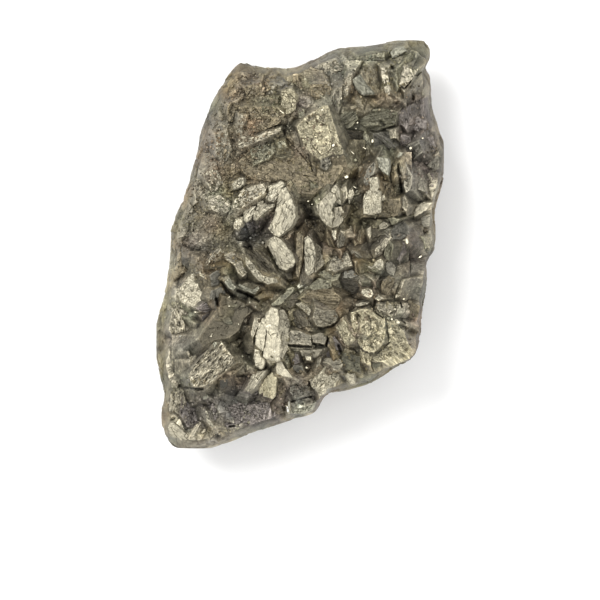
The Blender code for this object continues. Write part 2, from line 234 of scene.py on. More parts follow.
def flattenBreaks(p):
    # What stands outside each break is brought back to its plane.
    centre = np.array([0.0, 0.0, lump["rimHeight"]])
    for bearing, dip, share in breaks:
        turn, fall = math.radians(bearing), math.radians(dip)
        level = math.cos(fall)
        normal = np.array([math.cos(turn) * level, math.sin(turn) * level, math.sin(fall)])
        reach = share * level * float(np.max(outlineCurve @ np.array([math.cos(turn), math.sin(turn)])))
        beyond = np.maximum((p - centre) @ normal - reach, 0.0)
        p = p - beyond[:, None] * normal
    return p


def lumpSurface(angle, spread, front):
    # The outline shrunk by spread, at the face's height in front and on an elliptic back behind.
    radius = outlineRadius(angle) * spread
    x, y = radius * np.cos(angle), radius * np.sin(angle)
    back = lump["rimHeight"] - lump["backDepth"] * np.sqrt(np.clip(1 - spread ** lump["backPower"], 0, 1))
    p = np.stack([x, y, np.where(front, faceLevel(x, y), back)], axis=1)
    return flattenBreaks(p)


def ringMesh(rings, topPole, lowPole):
    # Closed surface: a pole, the rings in turn and a second pole. Returns points and faces.
    rows, columns = rings.shape[:2]
    points = np.concatenate([topPole[None], rings.reshape(-1, 3), lowPole[None]])
    col = np.arange(columns)
    nxt = (col + 1) % columns
    lower = 1 + (np.arange(rows - 1) * columns)[:, None]
    quads = np.stack([lower + col, lower + columns + col, lower + columns + nxt, lower + nxt], axis=2)
    last = 1 + (rows - 1) * columns
    topFan = np.stack([np.zeros(columns, int), 1 + col, 1 + nxt], axis=1)
    lowFan = np.stack([np.full(columns, len(points) - 1), last + nxt, last + col], axis=1)
    return points, quads.reshape(-1, 4), np.concatenate([topFan, lowFan])


def cavity(height, reach):
    # Height over the mean of the points around it, within reach cells each way of the grid.
    mean = np.zeros_like(height)
    for step in range(-reach, reach + 1):
        mean += np.roll(height, step, axis=1)
    mean /= 2 * reach + 1
    padded = np.pad(mean, ((reach, reach), (0, 0)), mode="edge")
    total = np.zeros_like(height)
    for step in range(2 * reach + 1):
        total += padded[step:step + len(height)]
    return height - total / (2 * reach + 1)


def makePiece(name, parts, material):
    # Joins parts, each (points, quads, triangles, tint, grain), into one mesh object at the origin.
    points, quads, triangles, colours, places = zip(*parts)
    start = np.cumsum([0] + [len(part) for part in points[:-1]])
    points = np.concatenate(points)
    limit = np.array([lump["fitX"], lump["fitY"], lump["fitZ"]])
    points = np.clip(points, -limit * (1.0, 1.0, 0.0), limit)
    quads = np.concatenate([part + s for part, s in zip(quads, start)])
    triangles = np.concatenate([part + s for part, s in zip(triangles, start)])
    mesh = bpy.data.meshes.new(name)
    mesh.vertices.add(len(points))
    mesh.vertices.foreach_set("co", (points * mm).astype(np.float32).ravel())
    corners = np.concatenate([quads.ravel(), triangles.ravel()]).astype(np.int32)
    starts = np.concatenate([np.arange(len(quads)) * 4, len(quads) * 4 + np.arange(len(triangles)) * 3])
    mesh.loops.add(len(corners))
    mesh.loops.foreach_set("vertex_index", corners)
    mesh.polygons.add(len(starts))
    mesh.polygons.foreach_set("loop_start", starts.astype(np.int32))
    mesh.update(calc_edges=True)
    mesh.validate()
    colours = np.concatenate(colours)
    colours = np.concatenate([colours, np.ones((len(colours), 1))], axis=1)
    tint = mesh.attributes.new("tint", "FLOAT_COLOR", "POINT")
    tint.data.foreach_set("color", colours.astype(np.float32).ravel())
    grain = mesh.attributes.new("grain", "FLOAT_VECTOR", "POINT")
    grain.data.foreach_set("vector", np.concatenate(places).astype(np.float32).ravel())
    mesh.polygons.foreach_set("use_smooth", np.zeros(len(mesh.polygons), bool))
    mesh.materials.append(material)
    item = bpy.data.objects.new(name, mesh)
    bpy.context.scene.collection.objects.link(item)
    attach(item, body)
    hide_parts(node)
    print(name, len(quads) * 2 + len(triangles), "triangles")
    return item


def linear(hexColour):
    # sRGB hex to linear, as the shaders take it.
    values = np.array([int(hexColour[i:i + 2], 16) for i in (1, 3, 5)]) / 255.0
    return np.where(values <= 0.04045, values / 12.92, ((values + 0.055) / 1.055) ** 2.4)


# Broad stains of the face: centre, two radii, turn, tint and how strongly it covers. The dark ones over the
# hollows are partly tarnish and partly painted shade.
stains = [
    (-20.0, 18.0, 9.0, 24.0, -18, "brown", 0.6), (-14.0, 31.0, 8.0, 6.0, 0, "brown", 0.6),
    (-9.0, -31.6, 10.0, 4.6, 12, "violet", 0.9), (-21.0, -33.0, 4.0, 5.6, 0, "violet", 0.8),
    (16.0, 22.0, 11.0, 6.0, 10, "grey", 0.8), (24.0, 18.0, 5.0, 12.0, 0, "violet", 0.7),
    (21.0, -6.0, 6.0, 12.0, 10, "grey", 0.7), (-9.0, 2.4, 5.0, 3.4, 20, "ink", 0.7),
    (14.0, -17.0, 6.5, 5.0, 10, "tan", 0.9), (-13.0, -15.0, 6.0, 4.0, 50, "slate", 0.8),
    (2.0, -31.4, 5.0, 2.4, 15, "slate", 0.7), (0.0, -33.0, 3.6, 1.4, 15, "pale", 0.8),
    (-15.0, -38.6, 10.0, 2.4, 18, "tan", 0.8), (-25.5, -37.0, 3.0, 3.0, 0, "pale", 0.7),
    (-18.0, -25.0, 6.0, 5.0, 40, "tan", 0.7), (12.6, 20.0, 6.0, 4.0, 10, "dark", 0.8),
    (10.0, 6.0, 6.0, 8.0, 0, "dark", 0.6), (0.0, 3.0, 5.0, 7.0, 20, "dark", 0.7),
    (-2.0, -6.0, 6.0, 4.0, 0, "dark", 0.7), (-11.6, -21.4, 4.0, 4.4, 60, "dark", 0.9),
    (2.0, -20.0, 8.0, 5.0, 0, "brown", 0.7), (4.0, 32.0, 9.0, 5.0, 20, "tan", 0.8),
    (12.0, 37.0, 12.0, 3.0, 10, "olive", 0.8), (-20.0, 5.0, 5.0, 9.0, -8, "tan", 0.45),
    (-24.0, -14.0, 4.2, 16.0, 0, "tan", 0.8), (-8.4, 30.0, 5.0, 3.6, 0, "tan", 0.45),
    (-21.6, 18.0, 4.0, 20.0, -18, "olive", 0.7),
]


def stainedTint(x, y):
    # The stains laid over the base tint one after another, each fading out from its middle; then broad
    # noises that make it lighter or darker, warmer or greener.
    tint = np.broadcast_to(linear(tints["brown"]), (len(x), 3)).copy()
    for stain in stains:
        weight = stain[6] * patchWeight(x, y, stain)
        tint += weight[:, None] * (linear(tints[stain[5]]) - tint)
    place = onPlane(x, y)
    warm = 1.3 * layeredNoise(place / 3.4, 2, 91)
    green = 1.3 * layeredNoise(place / 4.6 + 9.0, 2, 95)
    tint *= (1.0 + 0.3 * layeredNoise(place / (2.2, 2.8, 1.0), 2, 99))[:, None]
    hue = np.stack([1.0 + 0.10 * warm - 0.05 * green, 1.0 + 0.05 * green,
                    1.0 - 0.12 * warm - 0.04 * green], axis=1)
    return tint * hue


# The ground between the slabs: centre, two radii, turn, and how strongly the large, middle, small and
# grain-sized crystals show there.
grounds = [
    (0.0, -6.0, 19.0, 27.0, -10, 1.2, 0.7, 0.28, 0.3), (-25.0, -2.0, 6.5, 34.0, -8, 0.25, 0.55, 0.35, 0.5),
    (-16.0, 8.0, 5.5, 13.0, -12, 0.20, 0.3, 0.16, 0.9), (-10.0, 29.0, 10.0, 9.0, 0, 0.25, 0.35, 0.12, 0.95),
    (10.0, 33.0, 16.0, 7.0, 12, 0.4, 0.45, 0.15, 0.7), (13.0, 22.0, 8.5, 5.6, 8, 0.25, 0.3, 0.06, 0.32),
    (22.5, 26.0, 5.0, 10.0, 0, 0.5, 0.45, 0.12, 0.45), (22.0, 0.0, 6.5, 16.0, 8, 1.0, 0.7, 0.28, 0.3),
    (-20.0, -17.0, 6.5, 12.0, -30, 0.9, 0.5, 0.15, 0.2), (-9.0, -31.6, 10.0, 4.8, 12, 0.35, 0.35, 0.2, 0.6),
    (-21.0, -33.0, 4.4, 5.8, 0, 0.4, 0.35, 0.25, 0.6), (-13.0, -38.6, 14.0, 2.6, 18, 0.35, 0.5, 0.6, 0.5),
    (14.0, -18.0, 7.0, 6.5, 10, 0.35, 0.8, 0.45, 0.4), (-9.0, 2.4, 5.4, 3.4, 20, 0.25, 0.5, 0.6, 0.6),
    (-3.0, 16.0, 8.5, 6.0, 8, 0.12, 0.18, 0.1, 0.5),
]
openGround = (0.45, 0.7, 0.55, 0.6)  # the same strengths outside all of them

# How far the ground lies under the level, how high its grains and folds rise, how much brighter it is
# where it leans to the light, the light's direction, and how strongly its flecks show.
groundLook = {"sink": 0.25, "grainRise": 0.04, "foldRise": 0.16, "sheen": 0.40, "light": (0.70, -0.55),
              "flecks": 0.55}

# The crystals of each size: their spacing, stretch, direction and its spread, rise, lean and steepness.
crystalSizes = {
    "large": {"size": 4.6, "stretch": 1.7, "turn": 55, "spread": 150, "rise": 0.80, "lean": 0.55,
              "steep": 2.4, "seed": 5},
    "middle": {"size": 2.1, "stretch": 1.6, "turn": 40, "spread": 170, "rise": 0.38, "lean": 0.55,
               "steep": 2.1, "seed": 12},
    "small": {"size": 0.95, "stretch": 1.4, "turn": 30, "spread": 180, "rise": 0.2, "lean": 0.42,
              "steep": 2.0, "seed": 23},
}


def crystalField(x, y, ways):
    # Every lattice cell holds one block with a rectangular, sheared top in its own tilted plane; the
    # height at a point is the highest of the planes around it, less the walls' fall outside each top.
    size = ways["size"]
    span = int(120 / size) + 8
    table = np.random.default_rng(ways["seed"]).uniform(size=(span, span, 9))
    cellX = np.floor(x / size).astype(int) + span // 2
    cellY = np.floor(y / size).astype(int) + span // 2
    top = np.full(len(x), -99.0)
    own = np.zeros((len(x), 3))
    place = np.zeros((len(x), 2))
    lean = np.zeros((len(x), 2))
    stretch = math.sqrt(ways["stretch"])
    for step in range(25):
        column = np.clip(cellX + step % 5 - 2, 0, span - 1)
        row = np.clip(cellY + step // 5 - 2, 0, span - 1)
        r = table[column, row]
        dx = x - (column - span // 2 + r[:, 0]) * size
        dy = y - (row - span // 2 + r[:, 1]) * size
        angle = np.radians(ways["turn"] + (r[:, 2] - 0.5) * ways["spread"])
        u = dx * np.cos(angle) + dy * np.sin(angle)
        v = dy * np.cos(angle) - dx * np.sin(angle)
        u = u + 0.5 * (r[:, 3] - 0.5) * v
        outside = np.maximum(np.abs(u) - size * (0.38 + 0.45 * r[:, 4]) * stretch,
                             np.abs(v) - size * (0.38 + 0.40 * r[:, 5]) / stretch)
        leanU, leanV = (r[:, 6] * 2 - 1) * ways["lean"], (r[:, 7] * 2 - 1) * ways["lean"]
        height = ways["rise"] * (2 * r[:, 8] - 1) + leanU * u + leanV * v
        height = height - ways["steep"] * np.maximum(outside, 0.0)
        taller = height > top
        top = np.where(taller, height, top)
        own[taller] = r[taller][:, [3, 6, 8]]
        place[taller] = np.stack([u, v], axis=1)[taller]
        away = np.stack([leanU * np.cos(angle) - leanV * np.sin(angle),
                         leanU * np.sin(angle) + leanV * np.cos(angle)], axis=1)
        lean[taller] = away[taller]
    return top, own, place, lean


def groundStrengths(x, y):
    # The four strengths of the ground, each patch laid over those before it.
    strengths = np.broadcast_to(np.array(openGround), (len(x), 4)).copy()
    for patch in grounds:
        weight = patchWeight(x, y, patch)[:, None]
        strengths += weight * (np.array(patch[5:9]) - strengths)
    return strengths


def foldedLines(p, seed):
    # Thin curved ridges and furrows: where two noises, bent by a third, pass through nothing. Gives
    # their relief and their tone, bright along the ridges and dark along the furrows.
    bend = np.stack([layeredNoise(p / 1.7, 2, seed), layeredNoise(p / 1.7 + 5.0, 2, seed + 3), p[:, 2]],
                    axis=1)
    ridge = layeredNoise((p + 1.1 * bend) / (1.7, 0.8, 1.0), 3, seed + 6)
    furrow = layeredNoise((p - 1.1 * bend) / (0.9, 1.6, 1.0), 3, seed + 9)
    ridge, furrow = np.exp(-(ridge / 0.055) ** 2), np.exp(-(furrow / 0.06) ** 2)
    return ridge - furrow, 0.46 * ridge - 0.32 * furrow


def faceGround(x, y):
    # Relief of the face over its level: the three sizes of crystals and the grains, each times its
    # strength. Also gives the tint and the grain direction. The tint carries painted light: lighter on fronts
    # that lean to the light, painted shade where the relief lies low, and a few random crystals tinted
    # towards cream, partly as painted reflection.
    weight = groundStrengths(x, y)
    place = onPlane(x, y)
    bendX = x + 0.35 * valueNoise(place * 0.9, 31)
    bendY = y + 0.35 * valueNoise(place * 0.9, 32)
    large, ownLarge, placeLarge, leanLarge = crystalField(bendX, bendY, crystalSizes["large"])
    middle, ownMiddle, placeMiddle, leanMiddle = crystalField(bendX, bendY, crystalSizes["middle"])
    small, ownSmall, _, leanSmall = crystalField(bendX, bendY, crystalSizes["small"])
    grainy = layeredNoise(place / 0.42, 2, 71)
    bend = np.stack([layeredNoise(place / 2.3, 2, 84), layeredNoise(place / 2.3 + 5.0, 2, 85), x * 0], axis=1)
    speckle = layeredNoise((place + 1.4 * bend) / (0.62, 0.20, 1.0), 2, 83)
    flecks = 0.55 * smoothStep((speckle - 0.18) / 0.25) - 0.34 * smoothStep((-speckle - 0.2) / 0.25)
    folds, foldTone = foldedLines(place, 600)
    relief = weight[:, 0] * large + weight[:, 1] * middle + weight[:, 2] * small - groundLook["sink"]
    relief += (groundLook["grainRise"] * grainy + groundLook["foldRise"] * folds) * weight[:, 3]
    facing = (weight[:, :1] * leanLarge + weight[:, 1:2] * leanMiddle + weight[:, 2:3] * leanSmall)
    sheen = 1.0 + groundLook["sheen"] * (facing @ np.array(groundLook["light"]))
    capped = np.minimum(weight, 1.0)
    patchy = 1.0 + 0.45 * (ownLarge[:, 0] - 0.5) * capped[:, 0]
    patchy *= 1.0 + 0.55 * (ownMiddle[:, 0] - 0.5) * capped[:, 1]
    patchy *= 1.0 + 0.6 * (ownSmall[:, 0] - 0.5) * capped[:, 2]
    patchy *= (1.0 + (0.15 * grainy + foldTone) * capped[:, 3]) * (1.0 + groundLook["flecks"] * flecks)
    # A few random crystals are tinted towards cream: partly fresh faces, partly painted reflection.
    bright = (ownMiddle[:, 1] > 0.90) * weight[:, 1] + (ownSmall[:, 1] > 0.86) * weight[:, 2] * 0.8
    tint = stainedTint(x, y)
    tint = tint + (np.minimum(bright, 1.0) * 0.45)[:, None] * (linear(tints["cream"]) * 0.9 - tint)
    # Painted shade: the tint darkens to half where the relief lies low.
    low = smoothStep((relief + 0.9) / 1.5)
    tint = tint * (sheen * patchy * (0.5 + 0.5 * low))[:, None]
    grain = np.concatenate([placeLarge + placeMiddle * 0.4, relief[:, None]], axis=1) + ownLarge * 37.0
    return relief, np.clip(tint, 0.01, 0.85), grain


def sideGround(p):
    # Relief of the sides and back: broken cells of three sizes. Also gives a tint factor: painted shade
    # where the relief lies low, and darker along the edges of the middle cells.
    coarse, _ = brokenRelief(p, 6.0, 3, 0.16, 0.05)
    middle, gap = brokenRelief(p, 2.4, 5, 0.12, 0.12)
    fine, _ = brokenRelief(p, 0.9, 7, 0.05, 0.18)
    relief = coarse + middle + fine
    # Painted shade: lower relief is darker.
    shade = 1.0 + 0.5 * smoothStep((relief + 0.5) / 1.0) - 0.25
    shade *= 0.72 + 0.28 * np.minimum(gap * 4.0, 1.0)
    return relief, shade


# Where the relief turns from the face's to the sides': as shares of the outline, and the highest relief
# near the edge. The left edge, at softBearing, turns a little further in.
edgeBlend = {"start": 0.94, "run": 0.06, "softBearing": 166, "softStart": 0.045, "softRun": 0.01,
             "cappedFrom": 0.93, "faceCap": 0.5, "sideCap": 0.12}

# Shading of edges and hollows by height over the mean around: reach in rows and columns, the height
# that gives full shade, and how strong it is.
shading = {"edge": (2, 0.15, 0.26), "step": (7, 0.5, 0.7), "hollow": (9, 0.9, 0.2)}


def lumpRows(shares, angles, front, margin):
    # Points of the lump for rows of shares of the outline, moved by the relief of face and sides. The
    # margin's rows at either end are only there for the shading of hollows, and are left out.
    if margin:
        step = shares[1] - shares[0]
        inner = np.maximum(shares[0] - step * np.arange(margin, 0, -1), 0.002)
        shares = np.concatenate([inner, shares, shares[-1] + step * np.arange(1, margin + 1)])
        front = np.ones(len(shares), bool)
    rows, columns = len(shares), len(angles)
    spread = np.repeat(shares, columns)
    bearing = np.tile(angles, rows)
    onFace = np.repeat(front, columns)
    p = lumpSurface(bearing, spread, onFace)
    outwards = np.stack([np.cos(bearing), np.sin(bearing), np.zeros(len(p))], axis=1)
    up = np.where(onFace, 1.0, -1.0)[:, None] * np.array([0.0, 0.0, 1.0])
    aside = np.where(onFace, smoothStep((spread - 0.90) / 0.10), smoothStep((spread - 0.5) / 0.4))[:, None]
    way = outwards * aside + up * (1.0 - aside)
    way /= np.linalg.norm(way, axis=1, keepdims=True)
    faceRelief, tint, grain = faceGround(p[:, 0], p[:, 1])
    faceRelief, tint, grain = addFacets(p[:, 0], p[:, 1], faceRelief, tint, grain)
    sideRelief, shade = sideGround(p)
    blend = edgeBlend
    softer = smoothStep((np.cos(bearing - math.radians(blend["softBearing"])) - 0.45) / 0.25)
    share = spread - blend["start"] + blend["softStart"] * softer
    share = np.where(onFace, smoothStep(share / (blend["run"] + blend["softRun"] * softer)), 1.0)
    capped = np.minimum(faceRelief, blend["faceCap"])
    faceRelief = np.where(spread > blend["cappedFrom"], capped, faceRelief)
    relief = faceRelief * (1.0 - share) + np.minimum(sideRelief, blend["sideCap"]) * share
    blotch = layeredNoise(p / (1.9, 2.6, 3.4), 3, 641)
    _, foldTone = foldedLines(p * (0.6, 0.5, 0.4), 650)
    shade *= (1.0 + 0.9 * blotch) * (1.0 + 0.5 * foldTone)
    sideTint = stainedTint(p[:, 0] * 0.97, p[:, 1] * 0.97) * shade[:, None] * (1.0, 0.975, 0.9)
    tint = tint * (1.0 - share[:, None]) + sideTint * share[:, None]
    grain = grain * (1.0 - share[:, None]) + p * share[:, None]
    p = p + way * (relief - lump["inset"])[:, None]
    p[:, 2] = np.maximum(p[:, 2], 0.0)

    relief = relief.reshape(rows, columns)
    reach, height, edgeShading = shading["edge"]
    edges = np.clip(cavity(relief, reach) / height, -1.0, 1.0)
    reach, height, share = shading["step"]
    edges = edges + share * np.clip(cavity(relief, reach) / height, -1.0, 1.0)
    reach, height, depthShading = shading["hollow"]
    deep = np.clip(cavity(relief, reach) / height, -1.0, 0.5) if margin else relief * 0.0
    tint = tint.reshape(rows, columns, 3) * ((1.0 + edgeShading * edges) * (1.0 + depthShading * deep))[..., None]
    keep = slice(margin, rows - margin)
    return (p.reshape(rows, columns, 3)[keep], np.clip(tint, 0.008, 0.8)[keep],
            grain.reshape(rows, columns, 3)[keep])


def evenAngles(columns):
    # Bearings from minus to plus pi, evenly spaced along the outline.
    bearing = np.linspace(-math.pi, math.pi, 2001)
    reach = outlineRadius(bearing)
    step = np.hypot(np.diff(reach * np.cos(bearing)), np.diff(reach * np.sin(bearing)))
    walked = np.concatenate([[0.0], np.cumsum(step)])
    return np.interp(np.linspace(0, walked[-1], columns, endpoint=False), walked, bearing)


def wrappedMesh(rings):
    # Grid closed in both directions: around each ring, and from the last ring back to the first.
    rows, columns = rings.shape[:2]
    col = np.arange(columns)
    nxt = (col + 1) % columns
    start = (np.arange(rows) * columns)[:, None]
    following = (np.roll(np.arange(rows), -1) * columns)[:, None]
    quads = np.stack([start + col, following + col, following + nxt, start + nxt], axis=2)
    return rings.reshape(-1, 3), quads.reshape(-1, 4), np.zeros((0, 3), int)


def sunkRing(p, row):
    # A ring under one row of a band: brought towards the middle of the lump and below the lowest point
    # of its column, so that the band closes out of sight.
    centre = np.array([0.0, 0.0, lump["rimHeight"]])
    inward = centre - p[row]
    inward /= np.linalg.norm(inward, axis=1, keepdims=True)
    ring = p[row] + inward * lump["thick"]
    ring[:, 2] = np.minimum(ring[:, 2] - 0.6, p[..., 2].min(axis=0) - 0.8)
    return ring


def makeLump(material):
    # The face as bands that meet, each closed underneath; then the rim and the back in one.
    pieces = []
    for name, (start, end, columns, rows) in bands.items():
        shares = np.linspace(start, end, rows) if start else np.linspace(0.0, end, rows + 1)[1:]
        p, tint, grain = lumpRows(shares, evenAngles(columns), np.ones(rows, bool), shading["hollow"][0])
        under = sunkRing(p, -1)
        if start:
            mesh = wrappedMesh(np.concatenate([p, under[None], sunkRing(p, 0)[None]]))
            tint, grain = (np.concatenate([v, v[-1:], v[:1]]).reshape(-1, 3) for v in (tint, grain))
        else:
            lowPole = np.array([0.0, 0.0, under[:, 2].min()])
            mesh = ringMesh(np.concatenate([p, under[None]]), p[0].mean(0), lowPole)
            tint, grain = (np.concatenate([v[0, :1], v.reshape(-1, 3), v[-1], v[-1, :1]])
                           for v in (tint, grain))
        pieces.append(makePiece(name, [(*mesh, tint, grain)], material))
    down = np.linspace(0.0, 1.0, rimBand["faceRows"], endpoint=False)
    back = np.linspace(0.0, 1.0, rimBand["backRows"] + 1)[:-1]
    shares = np.concatenate([1.0 - rimBand["share"] * (1.0 - down) ** 2, 1.0 - back ** 2])
    front = np.arange(len(shares)) < rimBand["faceRows"]
    p, tint, grain = lumpRows(shares, evenAngles(rimBand["columns"]), front, 0)
    topPole = np.array([0.0, 0.0, lump["rimHeight"] + rimBand["poleRise"]])
    mesh = ringMesh(p, topPole, np.array([0.0, 0.0, p[-1, :, 2].mean()]))
    tint, grain = (np.concatenate([v[0, :1], v.reshape(-1, 3), v[-1, :1]]) for v in (tint, grain))
    pieces.append(makePiece("rimAndBack", [(*mesh, tint, grain)], material))
    return pieces
